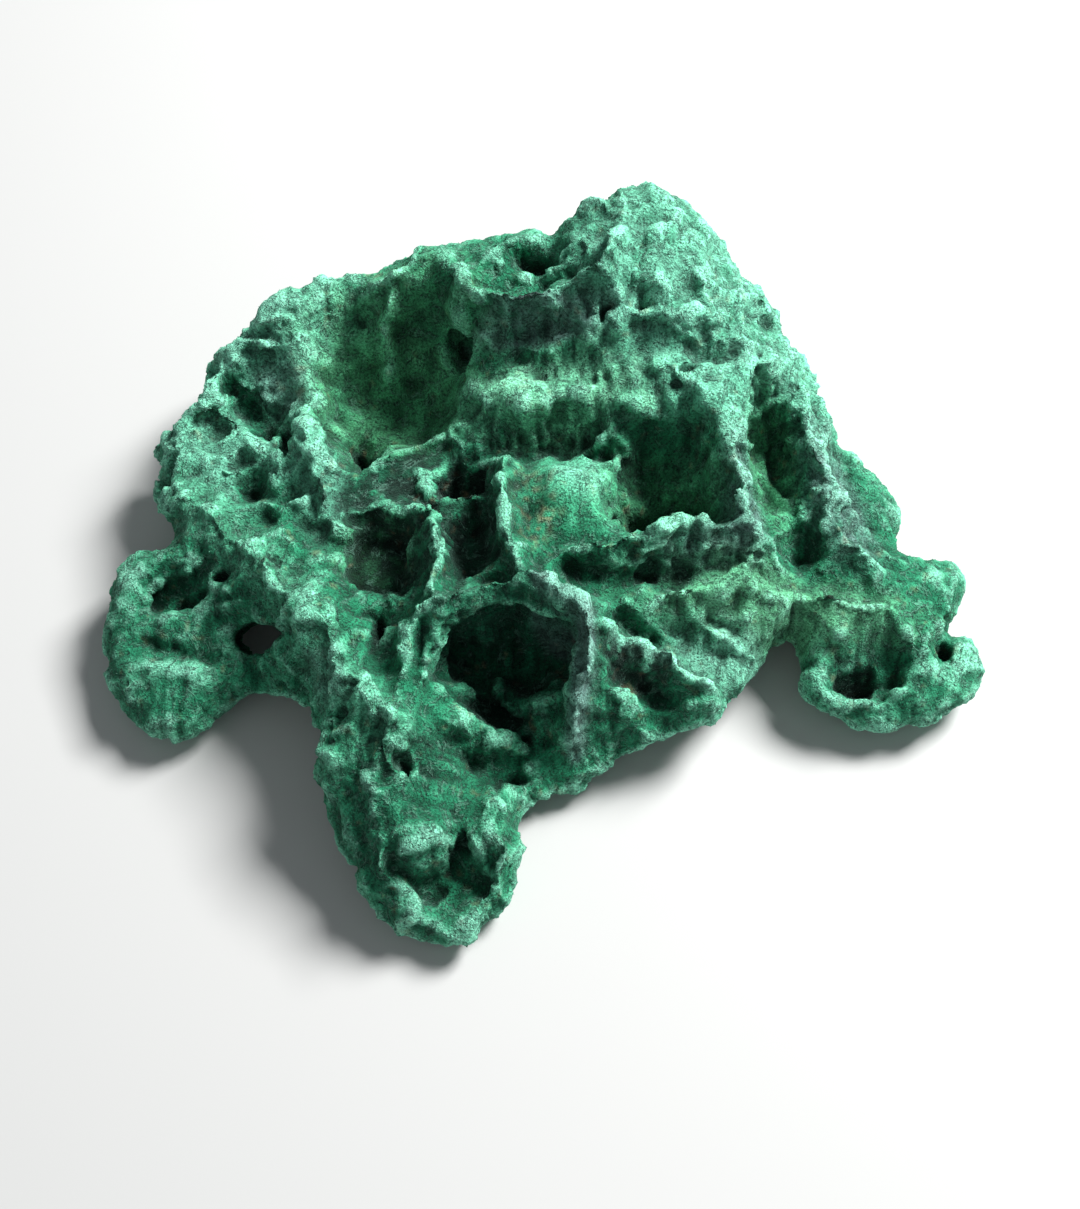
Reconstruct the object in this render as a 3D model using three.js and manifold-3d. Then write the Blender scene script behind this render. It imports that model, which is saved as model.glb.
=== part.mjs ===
// Velvet malachite specimen: one craggy crust of fibrous malachite that grew as a single piece.
// Millimetres, +Z up, +X along the longest side, +Y away from the front leg.
// The origin is under the middle of the piece, on the surface that it rests on. The plan below is
// drawn about a point that lies PLAN_MIDDLE_Y in front of that middle.
//
// The crust is built in three steps. A block takes the height of the upper side at each point of
// a fine grid. A second block takes the height of the underside and is cut away from the first.
// Then the caves and the hole that run under an edge are cut out, which a height can't show.

import * as THREE from 'three';
import { ImprovedNoise } from 'three/addons/math/ImprovedNoise.js';
import { mergeVertices } from 'three/addons/utils/BufferGeometryUtils.js';
import Module from 'manifold-3d';

const wasm = await Module();
wasm.setup();
const noise = new ImprovedNoise();

// Driving sizes.
const FIELD_X = 124;
const FIELD_Y = 106;
const UPPER_CELL = 1.78;
const UNDER_CELL = 3.5;
const BLOCK_DEPTH = 12;
const THINNEST = 2.6;
const EDGE_WANDER = 0.9;
const WARP = 2.4;
const SPREAD = 5;
const BLEND = 1.1;
const PLAN_MIDDLE_Y = 3.3;
const UNDER_MEAN = 3.2;

// The edge: how far up the broad form it lies, its lowest height, and the radius that rounds it.
const EDGE_SHARE = 0.42;
const EDGE_LOWEST = 2.4;
const EDGE_UNEVEN = 0.5;
const EDGE_FALL = 1.5;
const ROUND_SHARE = 0.28;
const ROUND_LEAST = 2.6;
const ROUND_MOST = 8;

// Ripples of both sides: height, spread and the place in the noise.
const upperRipples = [{ high: 1.3, wide: 5, from: 3.7 }, { high: 0.9, wide: 2.4, from: 9.2 }];
const underRipples = [{ high: 2.2, wide: 7, from: 21.3 }, { high: 1.4, wide: 3.4, from: 5.6 }];

// Plan outline, clockwise from the back peak.
const outline = [
  [13, 49.5], [20.5, 48], [27, 42.5], [30.3, 36.3], [33.7, 28.7], [37.3, 22.8], [40, 19.5],
  [43, 17.5], [46.5, 13.5], [47.5, 9.5], [46.5, 6.4], [50, 5.6], [54, 4.6], [55.5, 1.5], [54.5, -1.5],
  [52.6, -3.2], [53.8, -5], [56.4, -8], [54.8, -12.6], [51, -16], [46, -18], [42.6, -19],
  [38, -17], [34, -15.4], [33, -12], [33.4, -8.5], [31.5, -4.6],
  [28.8, -7.5], [26.4, -11.5], [25.6, -14.2], [23, -16], [21, -18.8], [18.4, -20], [14, -19.5],
  [10.5, -20.6], [8.5, -22.8], [5.6, -25.4], [2, -26], [-1.7, -27], [-2.6, -31], [-2, -34.6],
  [-4, -38.7], [-6.5, -41.4], [-8, -43.7], [-10.5, -44.4], [-13, -42.8], [-16.6, -43.4],
  [-19.4, -39.2], [-22.6, -34.6], [-25.4, -29.6], [-27, -25.3], [-25.6, -21.5], [-29, -15.2],
  [-33, -13.2], [-38.3, -13], [-40.6, -15.2], [-41.4, -17.4], [-43.4, -18.8], [-46, -19],
  [-49.2, -17.8], [-52.4, -14], [-55, -8], [-55.8, -1.5], [-55.5, 2.8], [-52.4, 5.8],
  [-47, 6.4], [-48.9, 10.6], [-50.8, 15.2], [-51.8, 21.4], [-47, 23], [-44.6, 26.8],
  [-42.4, 31], [-39.4, 36.5], [-35, 40.3], [-30.8, 41], [-25.4, 41.2], [-18.2, 42.4],
  [-12.9, 43.8], [-9.5, 43.2], [-5, 44.4], [0, 45.2], [5, 47.8], [9, 49.2],
];

// Spot heights of the broad form, before ridges and hollows: x, y, z.
const spots = [
  [13, 44, 34], [5, 42, 32], [19, 41, 32], [10, 34, 35], [19, 28, 32], [27, 36, 27],
  [29, 30, 27], [22, 20, 27], [33, 24, 23], [37, 18, 19], [0, 39, 31], [-10, 39, 29.5],
  [-18, 38, 28], [-26, 37, 25.5], [-33, 37, 22], [-39, 33, 19.5], [-44, 25, 16], [-49, 18, 13],
  [-47, 12, 12.5], [-43, 10, 14], [-37, 2, 16], [-44, 3, 12], [-52, 0, 9.5], [-50, -8, 8],
  [-46, -15, 6.5], [-38, -9, 8], [-36, -12, 6], [-27, -9, 17], [-20, -17, 18], [-16, -22, 17],
  [-12, -9, 19], [-4, 0, 21], [5, -10, 20], [17, -1, 21], [25, 2, 19], [0, 8, 19],
  [10, 16, 21], [0, 26, 22], [10, 24, 27], [-12, 12, 17], [-22, 14, 15], [-30, 18, 17],
  [-25, 4, 15], [-22, -2, 14], [-17, -27, 13], [-17, -35, 9], [-15, -42, 6.5], [-8, -42, 6],
  [-4, -35, 7], [-4, -29, 8], [5, -21.5, 8.5], [3, -26, 3.5], [12, -18, 8], [20, -17, 7.5],
  [25, -12, 8], [15, -10, 14], [25, -5, 13], [35, -2, 12.5], [42, -2, 12], [50, 0, 10],
  [53, -8, 8], [45, -8, 10], [38, -12, 7], [42, -16, 5], [50, -13, 6.5], [43, 14, 12],
  [46, 9, 9], [40, 9, 14], [46, 3, 11], [33, -8, 9],
];

// Lumps that stand proud: centre, radii, turn in degrees, height of the top, drop at the radius.
const lumps = [
  { name: 'emerald mound', at: [2.6, 6.7], r: [7.4, 6.6], turn: 0, top: 23, drop: 5 },
  { name: 'fibrous curtain', at: [-0.5, 21.2], r: [8.6, 4.6], turn: 0, top: 23.5, drop: 6 },
  { name: 'fibrous curtain, right', at: [11, 20.6], r: [4.6, 4.2], turn: 0, top: 24, drop: 6 },
  { name: 'brow over the curtain', at: [1, 26], r: [8.5, 4.5], turn: 0, top: 24.5, drop: 5 },
  { name: 'brow, right lump', at: [10.5, 26.5], r: [6, 5], turn: 0, top: 27, drop: 5 },
  { name: 'leg knob', at: [-14.2, -31.4], r: [4.8, 4], turn: 0, top: 13.8, drop: 5 },
  { name: 'leg right lobe', at: [-5, -32], r: [4, 7.5], turn: 15, top: 11, drop: 4 },
  { name: 'shoulder lump', at: [16, 22.5], r: [6, 4], turn: 20, top: 25, drop: 5 },
  { name: 'left arm heel', at: [-45, -12], r: [7, 6], turn: 0, top: 8.5, drop: 3 },
  { name: 'left arm shoulder', at: [-51, -1], r: [4, 5], turn: 0, top: 10.5, drop: 3 },
  { name: 'front lobe knob', at: [22, -14], r: [3.4, 4.5], turn: -20, top: 11, drop: 4 },
  { name: 'wing', at: [45, 12], r: [3.5, 5.5], turn: -10, top: 12.5, drop: 4 },
];

// Hollows: centre, radii, turn in degrees, height of the floor, rise at the radius.
const hollows = [
  { name: 'upper left basin', at: [-19.5, 24.5], r: [11, 10], turn: 0, floor: 11, rise: 12 },
  { name: 'basin left nook', at: [-26, 32], r: [5.2, 5], turn: 0, floor: 14, rise: 9 },
  { name: 'basin right nook', at: [-11.8, 28.8], r: [5.2, 4.4], turn: 0, floor: 13, rise: 12 },
  { name: 'shadow pocket', at: [-24, 17.5], r: [4.4, 4.2], turn: -20, floor: 7, rise: 9 },
  { name: 'rim pit, deep', at: [-33, 20.5], r: [4.6, 3.6], turn: 20, floor: 7, rise: 10 },
  { name: 'rim pit, middle', at: [-38, 24.5], r: [3.3, 2.8], turn: 0, floor: 10, rise: 7 },
  { name: 'rim pit, upper', at: [-40.5, 29.5], r: [2.6, 2.8], turn: 0, floor: 12, rise: 7 },
  { name: 'rim pit, top', at: [-35.5, 34.5], r: [3, 2.4], turn: 0, floor: 14.5, rise: 7 },
  { name: 'rim pit, corner', at: [-42, 19.5], r: [2.4, 2.2], turn: 0, floor: 10.5, rise: 4 },
  { name: 'rim pit, outer', at: [-48, 13], r: [3, 2.4], turn: 30, floor: 8, rise: 5 },
  { name: 'left dimple, inner', at: [-33.5, 7], r: [3.5, 3], turn: 0, floor: 11.5, rise: 6 },
  { name: 'left dimple, outer', at: [-37, 13], r: [3, 3.4], turn: 0, floor: 11, rise: 6 },
  { name: 'left dimple, lower', at: [-29, 11], r: [2.6, 3], turn: 0, floor: 11, rise: 6 },
  { name: 'middle left hollow', at: [-19.8, 1], r: [6.4, 6], turn: 0, floor: 9, rise: 9 },
  { name: 'crease under the cell ridge', at: [-19, -10.4], r: [2.4, 4], turn: -10, floor: 9, rise: 9 },
  { name: 'upper small cell', at: [-9, 11], r: [4.6, 3.4], turn: 0, floor: 12.5, rise: 7 },
  { name: 'middle cell', at: [-8.2, 0.8], r: [4, 5.2], turn: 0, floor: 14, rise: 6.5 },
  { name: 'front cavity', at: [-4.6, -13.2], r: [8.8, 7.4], turn: 0, floor: 3.5, rise: 15 },
  { name: 'right cell', at: [12, -15], r: [6.2, 4.4], turn: -12, floor: 3.2, rise: 8 },
  { name: 'right cell, upper', at: [11, -9.8], r: [4.6, 2], turn: -8, floor: 10.5, rise: 4 },
  { name: 'cavity behind the ledge', at: [15.2, 5.8], r: [6.2, 5], turn: 0, floor: 7.5, rise: 13 },
  { name: 'niche beside the spur', at: [19.3, 9], r: [3.6, 6.5], turn: 5, floor: 13, rise: 10 },
  { name: 'niche above the cavity', at: [13.6, 11.6], r: [5.6, 4.4], turn: 0, floor: 13.5, rise: 7 },
  { name: 'curtain foot', at: [0.5, 15], r: [9.5, 1.9], turn: 0, floor: 14.5, rise: 5 },
  { name: 'right fold', at: [29.3, 12], r: [3.6, 9], turn: 8, floor: 13.5, rise: 8 },
  { name: 'right lower hollow', at: [31, 2.5], r: [5.6, 3.2], turn: 0, floor: 9, rise: 6 },
  { name: 'right arm cavity', at: [41.3, -10.3], r: [5.8, 5.4], turn: 0, floor: 1.8, rise: 7.5 },
  { name: 'right arm dimple', at: [50.5, -7.5], r: [2.4, 4], turn: 20, floor: 4.5, rise: 5 },
  { name: 'leg hollow', at: [-10.5, -37.8], r: [6.4, 4.6], turn: 0, floor: 4, rise: 5 },
  { name: 'leg upper pit', at: [-14.4, -25.8], r: [4, 2.6], turn: 10, floor: 7, rise: 7 },
  { name: 'hollow above the leg', at: [-9.5, -24.5], r: [4, 2.6], turn: 10, floor: 6.5, rise: 6 },
  { name: 'front pit', at: [-3.5, -24.5], r: [3, 2.4], turn: 0, floor: 4.5, rise: 5 },
  { name: 'front pit, right', at: [1.8, -24], r: [2.4, 2.2], turn: 10, floor: 3.6, rise: 4 },
  { name: 'top of the low flange', at: [3.5, -26.2], r: [5.5, 2.4], turn: 5, floor: 2.8, rise: 3 },
  { name: 'shelf pit', at: [-8.5, -20.5], r: [2.2, 1.8], turn: 0, floor: 7, rise: 5 },
  { name: 'shelf pit, right', at: [-1, -20.4], r: [2.6, 1.8], turn: 0, floor: 5.5, rise: 5 },
  { name: 'top nook', at: [-0.8, 36.2], r: [4, 2.6], turn: 5, floor: 25.5, rise: 7 },
  { name: 'top cleft', at: [1.5, 41.5], r: [1.8, 3.6], turn: -30, floor: 27, rise: 6 },
  { name: 'left arm hollow', at: [-47, -1.5], r: [5, 3.2], turn: 20, floor: 6.5, rise: 4 },
  { name: 'left arm pit', at: [-41, 1.5], r: [3, 2], turn: 10, floor: 8.5, rise: 5 },
  { name: 'slope pit, upper', at: [27, 30.5], r: [2, 1.8], turn: 0, floor: 22, rise: 6 },
  { name: 'slope pit, middle', at: [20.5, 23.5], r: [2.6, 2], turn: 30, floor: 21.5, rise: 6 },
  { name: 'slope pit, lower', at: [37.5, 14.5], r: [1.8, 2], turn: 0, floor: 13, rise: 5 },
  { name: 'bridge pit, left', at: [5.6, -3.4], r: [2.6, 1.5], turn: 0, floor: 16.5, rise: 6 },
  { name: 'bridge pit, right', at: [14, -3], r: [3.6, 1.6], turn: 8, floor: 15.5, rise: 6 },
];

// Crests: a path of x, y, z, the half width of the crown and the slope of its sides.
const crests = [
  { name: 'front left ridge', half: 1.5, slope: 1.8, path: [
    [-47, 12, 13], [-43.5, 9.8, 14], [-37, 2.5, 16.5], [-27.5, -7.5, 18.8], [-21, -17, 19.5],
    [-16.5, -22.1, 19], [-18.4, -27, 16], [-17.5, -35.5, 11], [-16.5, -42, 8],
  ] },
  { name: 'front left ridge, inner', half: 2, slope: 1.7, path: [
    [-34, 4.5, 15.5], [-28.5, -0.5, 17], [-25.5, -6.5, 18.2], [-23, -12.5, 18.8],
  ] },
  { name: 'front left ridge, outer', half: 2.6, slope: 2.2, path: [
    [-36, 0, 15.5], [-30.5, -5.5, 17.2], [-27.8, -10.5, 17.8], [-25.2, -15.5, 17.4],
    [-22.8, -20.5, 16.2], [-21.5, -26, 12.5],
  ] },
  { name: 'cell ridge', half: 0.7, slope: 3, path: [
    [-17, -21.5, 18.5], [-16.4, -15.5, 18.8], [-15.5, -10.8, 19.8], [-11.8, -8.9, 21.8],
    [-12.3, -4, 22.5], [-12.8, 3, 22.3], [-13.5, 5, 20.5],
  ] },
  { name: 'cavity left rim', half: 0.5, slope: 3, path: [
    [-10.9, -10.2, 22], [-13, -12.8, 20.2], [-13.8, -16.3, 18.2], [-15.4, -20, 17.4],
  ] },
  { name: 'ridgelet', half: 0.4, slope: 2.4, path: [
    [-23.4, 6.4, 15], [-20.2, 6.8, 17], [-18.2, 6.8, 18], [-13.5, 5, 20.5],
  ] },
  { name: 'cell lintel', half: 0.8, slope: 3, path: [
    [-11.7, -9.4, 22.5], [-6, -7.4, 23], [1, -5.8, 24],
  ] },
  { name: 'centre wall', half: 0.6, slope: 4, path: [
    [-4.6, 10.5, 24], [-4, 4, 25], [-3.7, 0.7, 25], [-0.9, -5, 25], [5.7, -9.4, 25], [5.2, -13.5, 23],
    [4.2, -18, 18], [3.9, -22.5, 10],
  ] },
  { name: 'small cell sill', half: 0.5, slope: 3, path: [
    [-14.2, 12, 17.5], [-12.8, 8.2, 18.5], [-9, 7.7, 19.5], [-4.6, 7.2, 21.5],
  ] },
  { name: 'ledge', half: 1, slope: 4, path: [
    [0.2, -4.8, 23], [4, -1.8, 22], [9, -1.1, 24], [13, -0.6, 25.5], [17, 0.9, 25.5],
    [22.5, 1, 25], [26.5, 1, 23.2],
  ] },
  { name: 'ledge lower lip', half: 0.8, slope: 2.4, path: [
    [11.3, -5, 19], [14.6, -5.8, 18], [19.6, -4.8, 18], [24.4, -2.2, 19.5], [26.6, 0.4, 22],
  ] },
  { name: 'spur', half: 0.9, slope: 3, path: [
    [22.6, 12, 24], [24.4, 7, 24.2], [25.3, 1, 23.8],
  ] },
  { name: 'right ridge', half: 1.1, slope: 2.2, path: [
    [35.5, 22, 22], [34.4, 17, 20.5], [34.9, 9.6, 19], [37.6, 3.4, 16.5], [43.9, -1.1, 13],
    [50.2, 0.6, 11],
  ] },
  { name: 'right band', half: 1.6, slope: 1.4, path: [
    [6.5, -9, 21], [9.6, -6.8, 17.5], [19.3, -4.9, 16.5], [29.4, -3.2, 15], [38, -4.6, 13.5],
    [48, -3.6, 11.5],
  ] },
  { name: 'right cell septum', half: 0.5, slope: 2.4, path: [
    [7, -11.3, 17], [12, -11.5, 15.5], [16, -12.7, 14.5], [19.7, -15.4, 12.5],
  ] },
  { name: 'right cell front fold', half: 0.6, slope: 1.8, path: [
    [4.6, -17.6, 12], [8, -18.6, 10.5], [13, -17.8, 9.5], [18, -17, 10], [21, -16, 11.5],
  ] },
  { name: 'right arm lip', half: 0.8, slope: 2, path: [
    [47, -4, 11], [47.6, -9.5, 10], [46.5, -14, 8], [41, -16.4, 6], [35, -13.5, 6.5],
  ] },
  { name: 'top ledge', half: 0.8, slope: 4, path: [
    [-12.6, 36.2, 29], [-9, 31.5, 30], [-4, 29.4, 31], [3.6, 29.4, 32], [8.5, 30.5, 34],
    [9.5, 33.5, 35],
  ] },
  { name: 'basin septum', half: 0.4, slope: 2.4, path: [
    [-19.3, 36, 26], [-19.6, 32.3, 22], [-19, 27.5, 14],
  ] },
  { name: 'left spur', half: 0.5, slope: 2.2, path: [
    [-30.5, 20.5, 19], [-29.5, 17.1, 20], [-27, 9.9, 18.5], [-24.2, 3.4, 17],
  ] },
  { name: 'left rim', half: 1.2, slope: 1.6, path: [
    [-49, 18, 13], [-44.5, 21, 15.5], [-41.5, 27.5, 18], [-38, 31.5, 20.5], [-31, 34, 24],
    [-26, 37.5, 26],
  ] },
  { name: 'leg left flange', half: 0.8, slope: 1.6, path: [
    [-25.5, -24.5, 6.5], [-24, -31, 6], [-20.5, -38, 5],
  ] },
];

// Feet of the underside, cut flat where they rest: centre, radii, turn in degrees, how deep they go.
const feet = [
  { name: 'front leg', at: [-11.5, -38], r: [6, 5.5], turn: 10, deep: 4 },
  { name: 'left arm', at: [-46, -11], r: [6.5, 5.5], turn: 0, deep: 4 },
  { name: 'right arm', at: [44, -10], r: [7, 5], turn: 10, deep: 4 },
  { name: 'back left', at: [-36, 27], r: [8, 8], turn: 30, deep: 5 },
  { name: 'back right', at: [15, 37], r: [10, 7], turn: -15, deep: 5 },
  { name: 'middle', at: [12, 2], r: [6, 5], turn: 20, deep: 3.5 },
];

// Arches of the underside: centre, radii, turn in degrees, height.
const arches = [
  { name: 'between left arm and leg', at: [-32, -19], r: [11, 12], turn: -35, top: 9 },
  { name: 'between leg and right arm', at: [22, -16], r: [20, 9], turn: 15, top: 6 },
  { name: 'under the middle', at: [-10, 4], r: [15, 14], turn: 0, top: 10 },
  { name: 'left waist', at: [-53, 9], r: [9, 6], turn: 0, top: 6 },
  { name: 'under the wing', at: [44, 14], r: [9, 10], turn: 0, top: 7 },
  { name: 'back middle', at: [-12, 42], r: [14, 9], turn: 0, top: 9 },
  { name: 'back right corner', at: [31, 36], r: [8, 10], turn: -40, top: 10 },
];

const smoothMin = (a, b, k) => {
  const h = Math.max(k - Math.abs(a - b), 0) / k;
  return Math.min(a, b) - (h * h * k) / 4;
};
const smoothMax = (a, b, k) => -smoothMin(-a, -b, k);

// How far x, y lies from the middle of a turned ellipse, as a share of its radius.
function shareOut(x, y, oval) {
  const turn = THREE.MathUtils.degToRad(oval.turn);
  const dx = x - oval.at[0];
  const dy = y - oval.at[1];
  const u = (dx * Math.cos(turn) + dy * Math.sin(turn)) / oval.r[0];
  const v = (dy * Math.cos(turn) - dx * Math.sin(turn)) / oval.r[1];
  return Math.hypot(u, v);
}

// The nearest point of a path in plan: its distance, its place and its height.
function nearestOnPath(x, y, path) {
  let best = { distance: Infinity };
  for (let i = 1; i < path.length; i++) {
    const [ax, ay, az] = path[i - 1];
    const [bx, by, bz] = path[i];
    const along = ((x - ax) * (bx - ax) + (y - ay) * (by - ay)) / ((bx - ax) ** 2 + (by - ay) ** 2);
    const t = THREE.MathUtils.clamp(along, 0, 1);
    const near = { x: ax + t * (bx - ax), y: ay + t * (by - ay), z: az + t * (bz - az) };
    near.distance = Math.hypot(x - near.x, y - near.y);
    if (near.distance < best.distance) best = near;
  }
  return best;
}

const rippled = (x, y, ripples) => ripples.reduce(
  (sum, { high, wide, from }) => sum + high * noise.noise(x / wide, y / wide, from), 0);

function broadForm(x, y) {
  let sum = 0;
  let weight = 0;
  for (const [sx, sy, sz] of spots) {
    const w = Math.exp(-((x - sx) ** 2 + (y - sy) ** 2) / (2 * SPREAD * SPREAD)) + 1e-9;
    sum += w * sz;
    weight += w;
  }
  return sum / weight;
}

// How far inside the outline a point is, negative outside. The edge wanders a little.
const rim = outline.map(([x, y]) => [x, y, 0]).concat([[...outline[0], 0]]);
function inside(x, y) {
  let odd = false;
  for (let i = 1; i < rim.length; i++) {
    const [ax, ay] = rim[i - 1];
    const [bx, by] = rim[i];
    if (ay > y !== by > y && x < ((bx - ax) * (y - ay)) / (by - ay) + ax) odd = !odd;
  }
  const wander = EDGE_WANDER * noise.noise(x / 3, y / 3, 14.2);
  return (odd ? 1 : -1) * nearestOnPath(x, y, rim).distance + wander;
}

// Lumps and hollows are laid out on a plan that is bent a little, so that no rim is a clean oval.
// A crest has a round crown and falls to both sides.
function upperHeight(x, y) {
  const bentX = x + WARP * noise.noise(x / 4.5, y / 4.5, 31.4);
  const bentY = y + WARP * noise.noise(x / 4.5, y / 4.5, 47.9);
  let z = broadForm(x, y);
  for (const lump of lumps) {
    z = smoothMax(z, lump.top - lump.drop * shareOut(bentX, bentY, lump) ** 2, BLEND);
  }
  for (const hollow of hollows) {
    z = smoothMin(z, hollow.floor + hollow.rise * shareOut(bentX, bentY, hollow) ** 4, BLEND);
  }
  for (const crest of crests) {
    const { distance, z: crown } = nearestOnPath(x, y, crest.path);
    z = smoothMax(z, crown - (crest.slope * distance ** 2) / (distance + crest.half), BLEND);
  }
  return z + rippled(x, y, upperRipples);
}

function underHeight(x, y) {
  let z = UNDER_MEAN + rippled(x, y, underRipples);
  for (const arch of arches) z = smoothMax(z, arch.top * (1 - shareOut(x, y, arch) ** 2), 2 * BLEND);
  for (const foot of feet) z = smoothMin(z, foot.deep * (shareOut(x, y, foot) ** 2 - 1), 2 * BLEND);
  return Math.min(z, upperHeight(x, y) - THINNEST);
}

// The two sides draw together at the outline, round the edge and cross outside it.
function drawnTogether(x, y, height, isUpper) {
  const depth = inside(x, y);
  const broad = broadForm(x, y);
  const uneven = 1 + EDGE_UNEVEN * noise.noise(x / 9, y / 9, 60.1);
  const edge = Math.max(EDGE_SHARE * broad * uneven, EDGE_LOWEST);
  if (depth <= 0) return edge + (isUpper ? EDGE_FALL : -EDGE_FALL) * depth;
  const radius = THREE.MathUtils.clamp(ROUND_SHARE * broad, ROUND_LEAST, ROUND_MOST);
  const share = Math.min(depth / radius, 1);
  return edge + (height - edge) * Math.sqrt(1 - (1 - share) ** 2);
}

// Grid points near a crest are drawn onto it, so that its edge stays sharp. The rest wander.
function placed(x, y, cell) {
  for (const crest of crests) {
    const near = nearestOnPath(x, y, crest.path);
    if (near.distance < 0.42 * cell) return [near.x, near.y];
  }
  const reach = 0.5 * cell;
  return [x + reach * noise.noise(x / 2, y / 2, 0.5), y + reach * noise.noise(x / 2, y / 2, 7.5)];
}

// A block whose upper face carries the height at each grid point.
function heightBlock(cell, margin, height) {
  const wide = FIELD_X + 2 * margin;
  const deep = FIELD_Y + 2 * margin;
  const geometry = new THREE.BoxGeometry(wide, deep, 2, Math.round(wide / cell), Math.round(deep / cell), 1);
  const position = geometry.getAttribute('position');
  for (let i = 0; i < position.count; i++) {
    const isUpper = position.getZ(i) > 0;
    const [x, y] = placed(position.getX(i), position.getY(i), cell);
    position.setXYZ(i, x, y, isUpper ? Math.max(height(x, y), 1 - BLOCK_DEPTH) : -BLOCK_DEPTH);
  }
  return geometry;
}

function solid(geometry) {
  const bare = geometry.clone();
  bare.deleteAttribute('normal');
  bare.deleteAttribute('uv');
  const merged = mergeVertices(bare, 1e-4);
  return new wasm.Manifold(new wasm.Mesh({
    numProp: 3,
    vertProperties: new Float32Array(merged.getAttribute('position').array),
    triVerts: new Uint32Array(merged.index.array),
  }));
}

function geometryOf(manifold) {
  const mesh = manifold.getMesh();
  return new THREE.BufferGeometry()
    .setAttribute('position', new THREE.BufferAttribute(mesh.vertProperties, 3))
    .setIndex(new THREE.BufferAttribute(mesh.triVerts, 1));
}

// An uneven ball, used to cut caves: centre, radii and two turns in degrees.
function ball({ at, r, tilt = 0, turn = 0 }) {
  const geometry = new THREE.IcosahedronGeometry(1, 2);
  const position = geometry.getAttribute('position');
  for (let i = 0; i < position.count; i++) {
    const p = new THREE.Vector3().fromBufferAttribute(position, i);
    p.multiplyScalar(1 + 0.3 * noise.noise(p.x * 1.7 + at[0], p.y * 1.7 + at[1], p.z * 1.7));
    position.setXYZ(i, p.x * r[0], p.y * r[1], p.z * r[2]);
  }
  geometry.rotateX(THREE.MathUtils.degToRad(tilt));
  geometry.rotateZ(THREE.MathUtils.degToRad(turn));
  geometry.translate(...at);
  return solid(geometry);
}

// Caves that run under an edge, the hole through the left arm and the pits of the back.
const caves = [
  { name: 'cave at the back of the front cavity', at: [-3.5, -10.8, 13.4], r: [9.4, 6.4, 7.6] },
  { name: 'cave behind the ledge', at: [14, 3.5, 13.5], r: [7.5, 4.5, 5.5] },
  { name: 'hole under the top ledge', at: [-8.6, 29.4, 18.6], r: [3.8, 3.4, 4] },
  { name: 'hole through the left arm', at: [-34.4, -6.6, 7], r: [3.4, 2.4, 14], tilt: 25, turn: 8 },
  { name: 'back pit, far left', at: [-34, 40.5, 12], r: [4, 3, 4] },
  { name: 'back pit, left', at: [-19, 43, 15], r: [4.5, 3.5, 4] },
  { name: 'back pit, middle', at: [-3, 45.5, 17], r: [4, 3, 5] },
  { name: 'back pit, peak', at: [13, 50, 18], r: [4.5, 3.5, 4.5] },
  { name: 'back pit, right', at: [28, 41.5, 15], r: [4, 4, 4.5] },
];

// Knobs that bulge out of the back, where a height can't show them.
const knobs = [
  { name: 'back knob, far left', at: [-36, 31, 9], r: [9, 7, 8] },
  { name: 'back knob, left', at: [-22, 35, 11], r: [10, 8, 9] },
  { name: 'back knob, middle', at: [-6, 37.5, 11], r: [10, 7.5, 9] },
  { name: 'back knob, under the peak', at: [8, 41.5, 12], r: [10, 8.5, 10] },
  { name: 'back knob, right', at: [21.5, 38, 11], r: [9, 8.5, 9] },
  { name: 'back knob, far right', at: [30, 27, 10], r: [6.5, 10, 8] },
];

const upper = solid(heightBlock(UPPER_CELL, 0, (x, y) => drawnTogether(x, y, upperHeight(x, y), true)));
const under = solid(heightBlock(UNDER_CELL, UNDER_CELL, (x, y) => drawnTogether(x, y, underHeight(x, y), false)));
const table = new THREE.BoxGeometry(2 * FIELD_X, 2 * FIELD_Y, 2 * BLOCK_DEPTH).translate(0, 0, -BLOCK_DEPTH);
let crust = upper.subtract(under);
for (const knob of knobs) crust = crust.add(ball(knob));
for (const cave of caves) crust = crust.subtract(ball(cave));
crust = crust.subtract(solid(table));

const malachite = new THREE.MeshStandardMaterial({ color: 0x1f8a5b, roughness: 0.9, metalness: 0 });
const mass = new THREE.Mesh(geometryOf(crust), malachite);
mass.name = 'malachite_mass';
mass.position.y = -PLAN_MIDDLE_Y;

const specimen = new THREE.Group();
specimen.add(mass);

export default specimen;
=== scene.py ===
# %% [markdown]
# # A velvet malachite specimen
# Velvet malachite is a crust of fine green copper carbonate needles. It grew as one piece, so the
# model has one main mesh. This lesson starts from the plain CAD solid and gives it the ridges, pits
# and nap of the real one, then paints it with a procedural finish.

# %% The frame
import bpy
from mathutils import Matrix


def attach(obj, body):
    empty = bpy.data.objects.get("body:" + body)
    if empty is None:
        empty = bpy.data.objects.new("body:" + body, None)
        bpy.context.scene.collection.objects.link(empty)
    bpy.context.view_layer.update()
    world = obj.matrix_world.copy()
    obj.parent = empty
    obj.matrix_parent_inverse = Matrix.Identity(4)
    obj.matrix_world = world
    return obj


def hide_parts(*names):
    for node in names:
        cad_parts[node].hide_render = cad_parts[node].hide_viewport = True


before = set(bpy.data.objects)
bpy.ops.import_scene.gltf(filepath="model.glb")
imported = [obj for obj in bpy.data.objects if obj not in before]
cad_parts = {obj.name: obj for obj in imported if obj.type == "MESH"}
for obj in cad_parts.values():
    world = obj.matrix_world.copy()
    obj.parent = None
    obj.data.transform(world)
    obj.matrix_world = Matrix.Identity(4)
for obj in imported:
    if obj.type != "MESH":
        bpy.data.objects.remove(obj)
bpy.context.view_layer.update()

# %% Libraries
import itertools
import math
import bpy
import numpy as np
from mathutils import Vector
from mathutils.bvhtree import BVHTree
from mathutils.kdtree import KDTree

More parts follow.
